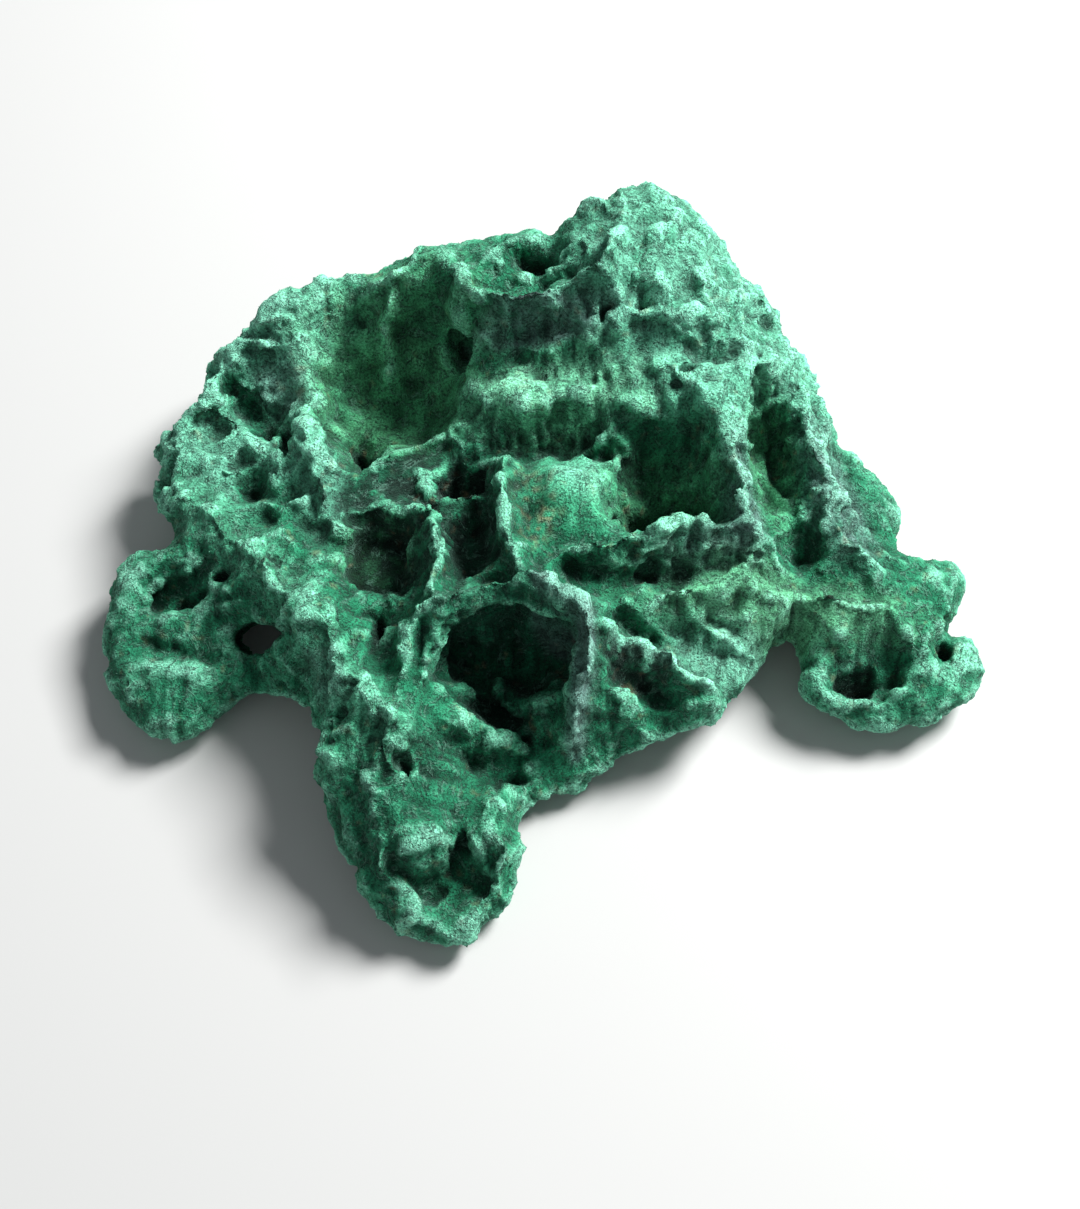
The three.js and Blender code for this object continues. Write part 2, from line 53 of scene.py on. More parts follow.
# %% [markdown]
# ## Camera
# The photograph looks down on the crust from the front at about 64 degrees, from roughly 20 cm away.
# The distance was found from the size of the crust in the frame and from how much nearer parts grow.

# %% The camera
LOOKS_DOWN = math.radians(63.7)
camera_data = bpy.data.cameras.new("photo_camera")
camera_data.sensor_width = 36
camera_data.lens = 44.67
camera_data.clip_start = 0.01
camera = bpy.data.objects.new("photo_camera", camera_data)
bpy.context.scene.collection.objects.link(camera)
camera.location = (0, -0.0893, 0.178)
look = Vector((0, math.cos(LOOKS_DOWN), -math.sin(LOOKS_DOWN)))
camera.rotation_euler = look.to_track_quat("-Z", "Y").to_euler()
bpy.context.scene.camera = camera
print("camera looks along", tuple(round(v, 3) for v in look))

# %% [markdown]
# ## Light and floor
# A large soft window at the back right gives the photograph's shading. In a studio that is one big
# soft box, with a weak fill so that the hollows keep some green.

# %% Soft boxes
def soft_box(name, place, size, power, aim=(0, 0, 0.01)):
    data = bpy.data.lights.new(name, "AREA")
    data.size = size
    data.energy = power
    lamp = bpy.data.objects.new(name, data)
    lamp.location = place
    lamp.rotation_euler = (Vector(aim) - Vector(place)).to_track_quat("-Z", "Y").to_euler()
    bpy.context.scene.collection.objects.link(lamp)

soft_box("window", (0.38, 0.28, 0.50), 0.24, 10.6)
soft_box("fill", (-0.4, -0.5, 0.5), 0.7, 0.35)
world = bpy.data.worlds.new("studio_air")
world.use_nodes = True
world.node_tree.nodes["Background"].inputs["Color"].default_value = (0.88, 0.95, 1, 1)
world.node_tree.nodes["Background"].inputs["Strength"].default_value = 0.21
bpy.context.scene.world = world
bpy.context.scene.view_settings.view_transform = "Standard"
print("window, fill and studio air lit")

# %% The floor
bpy.ops.mesh.primitive_plane_add(size=3, location=(0, 0, -0.0002))
floor = bpy.context.object
floor.name = "floor"
floor_paint = bpy.data.materials.new("pale_floor")
floor_paint.use_nodes = True
floor_paint.node_tree.nodes["Principled BSDF"].inputs["Base Color"].default_value = (0.56, 0.56, 0.55, 1)
floor_paint.node_tree.nodes["Principled BSDF"].inputs["Roughness"].default_value = 0.7
floor.data.materials.append(floor_paint)
print("floor laid")

# %% [markdown]
# ## The crust
# The CAD solid has the right form but flat facets 2 mm wide. A voxel remesh gives it an even, fine
# skin, and a little smoothing takes the facets off. The sculpting then works on its points in code,
# because well over a hundred ridges, pits and strokes are quicker to lay out as lists than by brush.

# %% Working on one object
def alone(piece):
    bpy.ops.object.select_all(action="DESELECT")
    piece.select_set(True)
    bpy.context.view_layer.objects.active = piece

def apply(piece, kind, **settings):
    alone(piece)
    modifier = piece.modifiers.new(kind.lower(), kind)
    for name, value in settings.items():
        setattr(modifier, name, value)
    bpy.ops.object.modifier_apply(modifier=modifier.name)

crust = bpy.data.objects.new("velvet_crust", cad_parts["malachite_mass"].data.copy())
bpy.context.scene.collection.objects.link(crust)
alone(crust)
bpy.ops.object.mode_set(mode="EDIT")
bpy.ops.mesh.select_all(action="SELECT")
bpy.ops.mesh.remove_doubles(threshold=1e-6)
bpy.ops.object.mode_set(mode="OBJECT")
FIRST_SKIN, FINE_SKIN = 0.0006, 0.00045
apply(crust, "REMESH", mode="VOXEL", voxel_size=FIRST_SKIN)
apply(crust, "SMOOTH", factor=0.5, iterations=8)
print("crust", len(crust.data.vertices), "points")

# %% Points in millimetres
# The plan of the solid was drawn about a point in front of its middle, and the lists below use it.
MM = 0.001
PLAN_MIDDLE = np.array([0, 3.3, 0])

def points(piece):
    flat = np.empty(len(piece.data.vertices) * 3)
    piece.data.vertices.foreach_get("co", flat)
    return flat.reshape(-1, 3) / MM + PLAN_MIDDLE

def lay(piece, p):
    p[:, 2] = np.maximum(p[:, 2], 0)
    piece.data.vertices.foreach_set("co", ((p - PLAN_MIDDLE) * MM).ravel())
    piece.data.update()

def facing(piece):
    flat = np.empty(len(piece.data.vertices) * 3)
    piece.data.vertex_normals.foreach_get("vector", flat)
    return flat.reshape(-1, 3)

def edges(piece):
    flat = np.empty(len(piece.data.edges) * 2, np.int64)
    piece.data.edges.foreach_get("vertices", flat)
    return flat.reshape(-1, 2)

# %% Smoothing a value over the skin
def eased(values, pairs, times):
    a, b = pairs[:, 0], pairs[:, 1]
    count = len(values)
    share = np.bincount(a, minlength=count) + np.bincount(b, minlength=count) + 1.0
    table = np.array(values, float).reshape(count, -1)
    for _ in range(times):
        table = np.stack([
            (c + np.bincount(a, c[b], count) + np.bincount(b, c[a], count)) / share for c in table.T
        ], axis=1)
    return table.reshape(np.shape(values))

# %% [markdown]
# ## Noise
# Stone never repeats, so most of the small relief comes from noise. Two kinds do it: smooth clouds
# that swell and sink, and cells that each have a centre, from which pits, bowls and flat chips are made.

# %% Clouds
def hashed(cell, seed):
    h = cell[:, 0] * 374761393 + cell[:, 1] * 668265263 + cell[:, 2] * 1442695041 + seed * 1274126177
    h = (h ^ (h >> 13)) & 0xFFFFFFFF
    h = (h * 1274126177) & 0xFFFFFFFF
    return h ^ (h >> 16)

def cloud(p, size, seed=0):
    q = p / size + 0.37 * seed
    base = np.floor(q).astype(np.int64)
    inner = q - base
    soft = inner ** 3 * (inner * (inner * 6 - 15) + 10)
    total = np.zeros(len(p))
    for corner in itertools.product((0, 1), repeat=3):
        h = hashed(base + corner, seed)
        slope = np.stack([(h & 255), (h >> 8) & 255, (h >> 16) & 255], axis=1) / 127.5 - 1
        weight = np.prod(np.where(corner, soft, 1 - soft), axis=1)
        total += weight * np.sum(slope * (inner - corner), axis=1)
    return np.clip(total * 1.6, -1, 1)

def fractal(p, size, octaves=3, seed=0, fade=0.5):
    total = np.zeros(len(p))
    for i in range(octaves):
        total += fade ** i * cloud(p, size / 2 ** i, seed + 7 * i)
    return total

def rocky(p, size, octaves=4, seed=0):
    """Sharp broken crests with smooth floors between them: a fine crest grows only on a coarse one."""
    total = np.zeros(len(p))
    weight = np.ones(len(p))
    for i in range(octaves):
        crest = (1 - np.abs(cloud(p, size / 2.1 ** i, seed + 5 * i))) ** 2
        total += 0.55 ** i * weight * (crest - 0.55)
        weight = np.clip(1.5 * crest * weight, 0, 1)
    return total

# %% Cells
def cells(p, size, seed=0):
    q = p / size
    base = np.floor(q).astype(np.int64)
    nearest = np.full(len(p), 9.0)
    for step in itertools.product((-1, 0, 1), repeat=3):
        h = hashed(base + step, seed)
        centre = np.stack([(h & 1023), (h >> 10) & 1023, (h >> 20) & 1023], axis=1) / 1023
        nearest = np.minimum(nearest, np.sum((base + step + centre - q) ** 2, axis=1))
    return np.sqrt(nearest)

def facets(p, size, seed=0):
    """Flat faces at slightly different slopes, like broken stone."""
    q = p / size
    base = np.floor(q).astype(np.int64)
    nearest = np.full(len(p), 9.0)
    height = np.zeros(len(p))
    for step in itertools.product((-1, 0, 1), repeat=3):
        h = hashed(base + step, seed)
        centre = np.stack([(h & 1023), (h >> 10) & 1023, (h >> 20) & 1023], axis=1) / 1023
        slope = np.stack([(h >> 3) & 255, (h >> 9) & 255, (h >> 17) & 255], axis=1) / 127.5 - 1
        offset = q - base - step - centre
        gap = np.sum(offset ** 2, axis=1)
        closer = gap < nearest
        nearest[closer] = gap[closer]
        height[closer] = np.sum(slope * offset, axis=1)[closer]
    return height

def ramp(value, low, high):
    t = np.clip((value - low) / (high - low), 0, 1)
    return t * t * (3 - 2 * t)

# %% [markdown]
# ## Listed forms
# The eye knows the real crust by its largest ridges and pits, so those are listed one by one. A ridge is a
# path in plan that lifts what lies under it and draws it together. A pit is a turned oval. A stroke is a path
# in space that settles on the skin and presses it in or swells it out, also on a wall.

# %% Tools for ridges and pits
def along(p, path):
    path = np.array(path, float)
    size = path.shape[1]
    best = np.full(len(p), 1e9)
    foot = np.zeros((len(p), size))
    for a, b in zip(path[:-1], path[1:]):
        t = np.clip(((p[:, :size] - a) @ (b - a)) / max((b - a) @ (b - a), 1e-9), 0, 1)
        near = a + t[:, None] * (b - a)
        gap = np.linalg.norm(p[:, :size] - near, axis=1)
        closer = gap < best
        best[closer] = gap[closer]
        foot[closer] = near[closer]
    return best, foot

def ridge(p, up, path, width, height, pinch=0.45, seed=0):
    gap, foot = along(p, path)
    near = np.flatnonzero((gap < width * 1.6) & (up > 0.02))
    q = p[near]
    reach = 1.05 * width * (1 + 0.5 * cloud(q, 2.4, 40 + seed))
    share = np.clip(1 - gap[near] / reach, 0, 1)
    lift = 0.95 * height * (1 + 1.1 * fractal(q, 3.4, 3, 60 + seed)) * share
    p[near, 2] += lift * ramp(up[near], 0.02, 0.35)
    p[near, :2] += (foot[near] - q[:, :2]) * (pinch * share * (1 - share) * 2)[:, None]

def oval(p, at, r, turn=0.0):
    t = math.radians(turn)
    dx, dy = p[:, 0] - at[0], p[:, 1] - at[1]
    across, over = dx * math.cos(t) + dy * math.sin(t), dy * math.cos(t) - dx * math.sin(t)
    return np.hypot(across / r[0], over / r[1])

def pit(p, up, at, r, depth, turn=0.0, rim=0.2):
    share = oval(p, at, r, turn)
    near = np.flatnonzero((share < 1.9) & (up > 0))
    q = p[near]
    s = share[near] * (1 + 0.25 * cloud(q, 1.6, 90))
    bowl = -depth * np.clip(1 - s ** 3, 0, 1) + rim * depth * np.exp(-((s - 1.12) / 0.28) ** 2)
    p[near, 2] += bowl * ramp(up[near], 0, 0.3)

def mound(p, up, at, r, top, drop, turn=0.0, power=2.0):
    share = oval(p, at, r, turn)
    near = np.flatnonzero((share < 1.3) & (up > 0))
    target = top - drop * (share[near] * (1 + 0.12 * cloud(p[near], 3, 93))) ** power
    rise = np.clip(target - p[near, 2], 0, 6)
    p[near, 2] += rise * ramp(up[near], 0, 0.25)

def stroke(p, n, skin, path, width, height, seed=0):
    settled = [tuple(skin.find_nearest(Vector(v))[0]) for v in path]
    gap = along(p, settled)[0]
    near = np.flatnonzero(gap < width * 1.5)
    reach = width * (1 + 0.3 * cloud(p[near], 1.9, 120 + seed))
    share = ramp(1 - gap[near] / reach, 0, 1)
    p[near] += n[near] * (height * share)[:, None]

# %% Ridges
# Each line is a path of x and y in mm on the plan, with its width and height.
ridges = [
    ("rib in the basin", [(-18, 35.5), (-19.5, 32.5), (-20, 31), (-20, 28)], 1.4, 2.2),
    ("line under the brow", [(-12.5, 31), (-10, 29.5), (-7.5, 27), (-5, 26), (-1.5, 24.8), (1, 24.5),
     (4, 26), (8, 26.5)], 1.1, 1.0),
    ("top ledge", [(-12, 35), (-10, 33), (-6.5, 30), (-3, 28.8), (1.5, 28.7), (5, 29.2), (7.5, 30),
     (9, 31.5), (9.5, 34)], 1.4, 1.5),
    ("peak line", [(9.5, 34), (10.5, 38), (9.5, 42), (12, 46)], 1.6, 1.0),
    ("peak fold", [(13, 32), (14.5, 36), (17, 40)], 1.4, 0.9),
    ("shoulder line", [(9, 27.5), (13, 26.5), (17, 25.5), (20, 22)], 1.4, 1.0),
    ("shoulder fold", [(14.5, 30), (17, 27), (22, 26.5)], 1.3, 0.9),
    ("left spur", [(-29.4, 17), (-28.2, 12.5), (-26, 8)], 1.3, 1.0),
    ("small cell sill", [(-12.8, 8.2), (-9, 7.7), (-4.6, 7.2)], 0.8, 0.9),
    ("small cell side", [(-14.6, 13), (-13.2, 8.2)], 0.7, 0.2),
    ("ridgelet", [(-23.4, 6.4), (-20.2, 6.8), (-18.2, 6.8), (-13.5, 5)], 0.9, 0.9),
    ("cell ridge", [(-13.5, 5), (-12.8, 3), (-12.3, -4), (-11.8, -8.9), (-15.5, -10.8), (-16.4, -15.5),
     (-17, -21.5)], 1.1, 1.1),
    ("cavity left rim", [(-10.9, -10.2), (-13, -12.8), (-13.8, -16.3), (-15.4, -20)], 0.9, 0.9),
    ("cell lintel", [(-11.5, -9.2), (-6.5, -7.6), (-1, -5.6)], 1.0, 0.9),
    ("centre wall", [(-4.6, 10.5), (-4.3, 5.8), (-3.9, 0.7), (-2.9, -3.4), (-0.9, -5.5), (2.5, -8),
     (5.2, -10), (5.2, -13.5), (4.3, -18), (4, -21.5)], 1.1, 1.2),
    ("ledge crest", [(4, -1.8), (9, -1.1), (13, -0.6), (17, 0.9), (22.5, 1), (26.5, 1)], 1.1, 1.0),
    ("ledge lower lip", [(11.3, -5), (14.6, -5.8), (19.6, -4.8), (24.4, -2.2), (26.6, 0.4)], 1.0, 0.7),
    ("spur", [(22.6, 12), (24.4, 7), (25.3, 1)], 1.3, 1.0),
    ("right ridge", [(33, 21), (33.5, 17.5), (34.5, 12), (37, 9.5), (39.5, 7), (43, 4), (46, 2)], 1.5, 1.2),
    ("right band crest", [(7.5, -9), (10, -7.5), (15.5, -5.8), (18.5, -5.4), (23.5, -4), (31.5, -3),
     (35.5, -4.5), (44, -4.5)], 1.2, 0.8),
    ("right cell septum", [(6, -11.5), (11, -11.6), (14.5, -12), (17, -13.2), (20.5, -15)], 1.1, 2.0),
    ("lower fold", [(5, -17.5), (8, -18.3), (13, -17), (18, -16.8), (21, -17)], 1.0, 1.0),
    ("right arm inner ridge", [(45, -6), (46, -10), (45.5, -13), (42, -16), (38, -15)], 1.1, 1.1),
    ("left arm upper edge", [(-44, 3), (-49.5, 0), (-52, -3)], 1.4, 0.9),
    ("left arm inner edge", [(-47.5, -4), (-43, -5), (-38.5, -4), (-36, -4.5)], 1.0, 0.9),
    ("left arm lower lobe", [(-41.5, -8.5), (-37, -7.5), (-35, -11), (-30, -13)], 1.2, 0.8),
    ("front left ridge", [(-47, 12), (-43, 9), (-38, 4), (-33, -1), (-29, -6), (-26.5, -11),
     (-23.5, -16), (-19.5, -21)], 3.2, 0.7),
    ("front left ridge, crest", [(-46, 11.5), (-42, 8.5), (-37, 3.6), (-33.5, -1.5),
     (-30.5, -6)], 1.4, 0.4),
    ("leg spine", [(-16.5, -21.5), (-19, -25), (-20, -29), (-19, -33), (-17.5, -38)], 1.3, 1.3),
    ("shelf edge", [(-11, -20.5), (-9.5, -21), (-5.5, -21.5), (-2, -21.5)], 1.0, 1.1),
    ("leg left flange", [(-24.5, -25), (-24, -29), (-22, -34), (-19.5, -39)], 1.1, 0.8),
    ("leg right lip", [(-6, -26), (-4, -30), (-4, -35), (-7, -40)], 1.2, 1.0),
    ("basin lower lip", [(-28, 13), (-24, 13.5), (-19, 15), (-14, 17), (-10, 17.5)], 1.2, 0.8),
    ("rim line", [(-44, 22), (-42, 26), (-38, 31), (-33, 34), (-27, 37)], 1.4, 0.8),
    ("rim cross line", [(-42, 22), (-38, 21), (-35, 22.5)], 1.0, 0.9),
    ("rim cross line, upper", [(-41, 27), (-37, 27.5), (-34, 29)], 1.0, 0.9),
    ("left dimple line", [(-41, 15), (-37, 10), (-32, 9.5)], 1.0, 0.9),
    ("left dimple line, lower", [(-35, 10), (-30.5, 8.5), (-28, 6)], 1.0, 0.8),
]
print(len(ridges), "ridges")

# %% Pits
# Each entry is a place on the plan, the radii, the depth and the turn. A negative depth is a swelling.
pits = [
    ((-0.5, 36.5), (2.0, 1.6), 1.6, 0), ((27.0, 30.5), (2.2, 2.0), -2.0, 0), ((4.2, -2.9),
     (1.0, 0.8), 1.2, 0),
    ((7.3, -3), (1.3, 0.8), 1.3, 0), ((12.5, -3), (2.3, 1.2), 1.8, 5), ((16.8, -2.4), (1.5, 0.8), 1.2, 10),
    ((20.2, -1.6), (1.2, 0.7), 1.0, 10), ((-9.3, -3.2), (1.3, 1.2), 0.8, 0), ((-4.7, -1.6),
     (1.2, 1.3), 0.9, 0),
    ((-41, 25), (1.9, 1.0), 1.8, 35), ((-43.5, 21.5), (1.6, 0.8), 1.3, 40), ((-37, 24),
     (1.4, 0.9), 1.2, 20),
    ((-32.5, 18.5), (1.5, 3.0), 2.4, 10), ((-38, 15.5), (2.4, 0.8), 1.5, 25), ((-36.5, 12.5),
     (1.8, 0.8), 1.2, 15),
    ((-22, 33.5), (1.6, 1.4), 1.2, 0), ((-26.5, 18.5), (2.4, 1.6), 2.2, -35), ((-24, 17.5),
     (2.2, 1.5), 2.0, -20),
    ((7.5, 28.3), (0.7, 1.5), 2.2, 0), ((5.8, 28.4), (0.6, 1.2), 1.6, 0), ((12, 29), (0.7, 1.8), 2.2, -10),
    ((10.8, 29.6), (0.5, 1.5), 1.6, -10), ((27, 31.3), (1.0, 0.8), 1.6, 0), ((28, 28.6),
     (0.9, 0.8), 1.3, 0),
    ((25.5, 27), (0.8, 0.7), 1.1, 0), ((36.3, 15.4), (0.8, 0.9), 1.4, 0), ((35.5, 12.3),
     (0.8, 0.8), 1.3, 0),
    ((19.5, 25), (1.0, 0.8), 1.2, 0), ((17, 18.5), (1.2, 0.9), 1.4, 0), ((18.5, 20.5), (1.2, 0.9), 1.4, 20),
    ((-33, 0), (0.9, 1.7), 1.7, 35), ((-25.5, -15), (0.9, 1.1), 1.1, 0), ((-24, -13.6), (0.8, 0.9), 1.0, 0),
    ((-23.5, -19.5), (0.8, 1.1), 1.0, 20), ((-19, -9.5), (1.2, 2.4), 2.4, -10), ((-16, -26),
     (1.7, 1.8), 2.6, 0),
    ((-13.5, -38), (2.4, 1.8), 1.2, 0), ((23.5, -12.5), (0.7, 0.7), 1.0, 0), ((21, -10.5),
     (0.8, 0.7), 0.9, 0),
    ((51, -8.5), (1.2, 2.0), 1.4, 20), ((-44.5, -1.5), (2.2, 1.1), 1.4, 20), ((-39.5, 0.5),
     (1.6, 1.0), 1.3, 20),
    ((-2, -19.8), (1.4, 1.0), 1.4, 0), ((-8, -23.5), (2.0, 1.3), 1.5, 0), ((-3, -24.5), (1.8, 1.2), 1.2, 0),
    ((1.5, -20.2), (1.2, 1.2), 1.0, 0), ((10.2, -13.9), (4.0, 1.7), 2.4, -8), ((-10, 11.2),
     (3.9, 2.0), 2.2, 0),
    ((-6.6, 11), (1.7, 1.8), 2.2, 0), ((9.2, 6.6), (1.9, 4.8), 2.4, 0), ((8.8, 13.2), (1.9, 1.5), 1.4, 0),
    ((6.8, 13.2), (1.8, 1.3), 2.2, 0), ((39.8, -12.2), (2.4, 2.2), 2.6, 0), ((19.3, 8), (1.3, 3.0), 1.6, 5),
    ((30.6, 14), (1.9, 5.0), 2.0, 12), ((31, 2.5), (2.2, 1.1), 1.2, 0),
]
print(len(pits), "pits")

# %% Mounds
# Each line is a place on the plan, the radii, the height of the top, the drop at the edge, the turn
# and how pointed it is: 1 is a cone, 2 a dome.
mounds = [
    ("left spur", (-29.2, 16.2), (4.2, 10.5), 20.8, 7.5, 14, 1.05),
    ("emerald dome", (3.0, 6.4), (6.2, 6.2), 24.6, 7.0, 0, 1.8),
    ("lump in the middle cell", (-6.8, -4.0), (2.2, 1.8), 19.6, 3.0, 0, 2.0),
    ("shelf under the bowl", (-20, -5.6), (4.0, 2.4), 15.4, 3.0, 0, 2.0),
    ("leg knob", (-15, -32.4), (4.0, 3.4), 13.8, 3.5, 0, 2.0),
    ("floor of the dark bowl", (-20.2, 1.8), (5.4, 5.2), 13.0, 1.6, 0, 2.0),
    ("floor of the middle cell", (-8, -2), (4.4, 4.4), 17.6, 1.5, 0, 2.0),
    ("filled nook of the shoulder", (21, 25.4), (3.6, 3.2), 28.2, 2.4, 0, 2.0),
    ("knob over the spur", (22.4, 14.6), (2.4, 2.2), 25.4, 3.0, 0, 2.0),
]
print(len(mounds), "mounds")

# %% Strokes
# Each line is a path in space with its width and height. A negative height presses in.
strokes = [
    ("slot under the top ledge", [(7.5, 28.5, 30.5), (7.3, 28, 27.5)], 0.9, -2.0),
    ("slot beside it", [(5.6, 28.5, 31), (5.4, 28, 28.4)], 0.7, -1.3),
    ("slot in the shoulder", [(11, 28.5, 30), (11.5, 28, 27)], 0.7, -1.4),
    ("second slot in the shoulder", [(12.6, 28, 30), (13, 27, 27.5)], 0.7, -1.4),
    ("rib between the slots", [(9.2, 29.5, 32), (9.3, 28, 29), (10, 26.5, 26.5)], 0.8, 0.9),
    ("curtain swell, left", [(-5.5, 20.5, 20.5), (-1, 20.5, 21)], 3.4, 1.5),
    ("curtain swell, right", [(2, 20.3, 21.5), (6, 19.8, 22)], 3.2, 1.5),
    ("notch between them", [(0.4, 22, 23), (0.7, 18, 19)], 0.9, -1.1),
    ("second curtain", [(10, 19.5, 22), (13.5, 19.2, 22)], 2.4, 1.2),
    ("knob on the shoulder", [(15, 22.5, 25), (18, 21.5, 24.5)], 1.6, 1.0),
    ("left arm curl", [(-43, 3, 11), (-47.5, 1, 9), (-51, -1.5, 7.5), (-53, -5, 5)], 1.2, 0.8),
    ("pocket under the curl", [(-46.5, -1.2, 8.5), (-42, -1, 9), (-38.5, 0.2, 10)], 1.7, -1.7),
    ("left arm lower groove", [(-49.5, -7, 6.5), (-45, -8.5, 7.5), (-41, -10.2, 7)], 1.2, -0.9),
    ("left arm lower swell", [(-47, -11, 7.5), (-42, -12, 6)], 1.8, 0.8),
    ("lump in the front cavity", [(-11.5, -16.5, 15), (-10.5, -18, 13)], 1.6, 0.9),
    ("rib in the cavity", [(-4.6, -11.6, 9), (-4.6, -13.4, 6.5), (-3, -15.5, 6.5)], 1.6, 2.2),
    ("fold below the bridge", [(10, -6.5, 18.5), (13, -8.5, 15), (17, -9.5, 12.5)], 1.0, 0.8),
    ("groove below the fold", [(8.5, -9, 17), (12, -10.6, 13)], 1.0, -1.0),
    ("fold at the right of it", [(18, -6, 16), (21.5, -8, 12.5), (25.5, -9.5, 8.5)], 1.0, 0.7),
    ("groove in the right band", [(20, -6.5, 14), (24, -7, 12)], 0.9, -0.8),
    ("leg knob", [(-15.5, -33, 10.5), (-14, -32.5, 11)], 1.9, 0.9),
    ("leg left ear", [(-24.5, -26.5, 11.5), (-25, -29, 9.5)], 1.8, 0.8),
    ("leg right lobe", [(-7.5, -33, 8.5), (-7, -36, 7)], 1.6, 0.8),
    ("groove of the leg rim", [(-10.5, -30.5, 9), (-9, -35, 7)], 1.0, -0.9),
    ("right arm lip", [(49.5, -6, 7), (52, -9.5, 7), (49.5, -14, 5)], 1.2, 0.8),
]
for i, x in enumerate(np.arange(-7, 10, 0.85)):
    thread = [(x, 22.6, 24), (x + 0.3, 20, 21.5), (x + 0.5, 17.4, 16)]
    strokes.append(("curtain thread", thread, 0.75, 0.55 if i % 2 else -0.65))
for y in np.arange(5, 22, 1.7):
    strokes.append(("thread of the left fold wall", [(27, y, 22.5), (29, y - 0.6, 16)], 0.7, -0.6))
for y in np.arange(6, 20, 1.6):
    strokes.append(("thread of the right fold wall", [(33, y, 20.5), (31, y - 0.4, 15)], 0.7, -0.6))
print(len(strokes), "strokes")

# %% Laying them
p = points(crust)
up = facing(crust)[:, 2]
for seed, (_, path, width, height) in enumerate(ridges):
    ridge(p, up, path, width, height, seed=seed)
for _, at, r, top, drop, turn, power in mounds:
    mound(p, up, at, r, top, drop, turn, power)
for at, r, depth, turn in pits:
    pit(p, up, at, r, depth, turn, 0.2 if depth > 0 else 0)
lay(crust, p)
n = eased(facing(crust), edges(crust), 3)
n /= np.linalg.norm(n, axis=1, keepdims=True) + 1e-9
skin = BVHTree.FromPolygons([tuple(v) for v in p], [tuple(f.vertices) for f in crust.data.polygons])
for seed, (_, path, width, height) in enumerate(strokes):
    stroke(p, n, skin, path, width, height, seed)

# The lists give clean ovals and lines. A wobble of the plan, about a millimetre, breaks them up.
wobble = np.stack([fractal(p * (1, 1, 0.6), 6, 3, seed) for seed in (51, 52)], axis=1)
p[:, :2] += 1.1 * wobble * ramp(p[:, 2], 0, 3)[:, None]
lay(crust, p)
apply(crust, "REMESH", mode="VOXEL", voxel_size=FINE_SKIN)
print("after the hand-laid forms", len(crust.data.vertices), "points")

# %% [markdown]
# ## Natural relief
# The same stone is smooth and fibrous in its hollows and rough and pitted on its rims. So the relief
# needs to know where it is: how far a point bulges, and which part of the crust it belongs to.

# %% Parts of the crust
def zone(p, at, r, turn=0.0, soft=0.5):
    return ramp(oval(p, at, r, turn) + 0.25 * cloud(p, 3, 71), 1 + soft, 1 - soft)

def near_line(p, path, width):
    return ramp(along(p, path)[0] + 0.3 * width * cloud(p, 3, 72), width * 1.4, width * 0.5)

def parts_of(p):
    calm = np.zeros(len(p))
    for at, r in (((-19, 26), (9, 8)), ((1.5, 20), (10, 4)), ((3, 7), (6.5, 5)), ((-45, -9), (8, 8)),
                  ((15, -9), (9, 4)), ((33, -6), (9, 3)), ((40, -10), (6, 6)), ((-12, -34), (6, 8)),
                  ((-22, -31), (3, 7))):
        calm = np.maximum(calm, zone(p, at, r))
    pitted = near_line(p, [(-45, 14), (-41, 24), (-36, 31), (-26, 36)], 6)
    for path, width in (([(-38, 8), (-30, -3), (-25, -13), (-19, -24), (-19, -34)], 4),
                        ([(-34, 20), (-28, 12)], 4), ([(-8, 33), (2, 33), (12, 42)], 4),
                        ([(22, 32), (34, 20), (37, 8)], 4), ([(5, -2), (24, 0)], 2.5)):
        pitted = np.maximum(pitted, near_line(p, path, width))
    return calm, pitted

# %% Where a point lies
def levels(p, n, pairs, *times):
    return [np.sum((p - eased(p, pairs, t)) * n, axis=1) for t in times]

p = points(crust)
n = facing(crust)
pairs = edges(crust)
bulge, = levels(p, n, pairs, 50)
calm, pitted = parts_of(p)
rough = np.clip(ramp(bulge + 0.5 * cloud(p, 6, 3), -0.3, 0.9) + 0.5 * pitted, 0, 1) * (1 - 0.75 * calm)
print("rough share", round(float(rough.mean()), 2), "pitted share", round(float(pitted.mean()), 2))

# %% Fibres
# Grains are strewn on the skin and smeared downhill, which leaves streaks like combed fibres.
def downhill(n, pairs):
    soft = eased(n, pairs, 12)
    soft /= np.linalg.norm(soft, axis=1, keepdims=True) + 1e-9
    fall = soft * soft[:, 2:3] - (0, 0, 1)
    return fall / (np.linalg.norm(fall, axis=1, keepdims=True) + 1e-6)

def combed(p, pairs, fall, seed, times, power=6, width=0):
    values = eased(np.random.default_rng(seed).normal(size=len(p)), pairs, width)
    a, b = pairs[:, 0], pairs[:, 1]
    way = p[b] - p[a]
    way /= np.linalg.norm(way, axis=1, keepdims=True) + 1e-9
    at_a = np.abs(np.sum(way * fall[a], axis=1)) ** power
    at_b = np.abs(np.sum(way * fall[b], axis=1)) ** power
    count = len(values)
    share = 0.3 + np.bincount(a, at_a, count) + np.bincount(b, at_b, count)
    for _ in range(times):
        smeared = np.bincount(a, at_a * values[b], count) + np.bincount(b, at_b * values[a], count)
        values = (0.3 * values + smeared) / share
    return np.clip(values / values.std() / 2, -1, 1)

fall = downhill(n, pairs)
fibre = combed(p, pairs, fall, 11, 16)
furrow = combed(p, pairs, fall, 13, 60, 4, 3)
print("fibres combed")

# %% [markdown]
# ## Bowls, chips and furrows
# Broken stone has shallow bowls that meet in sharp edges, small flat chips and, on the fibrous walls,
# furrows that run downhill. Displace modifiers could lay them everywhere. Here code adds them point by
# point, because each kind has to fade where the crust is smooth.

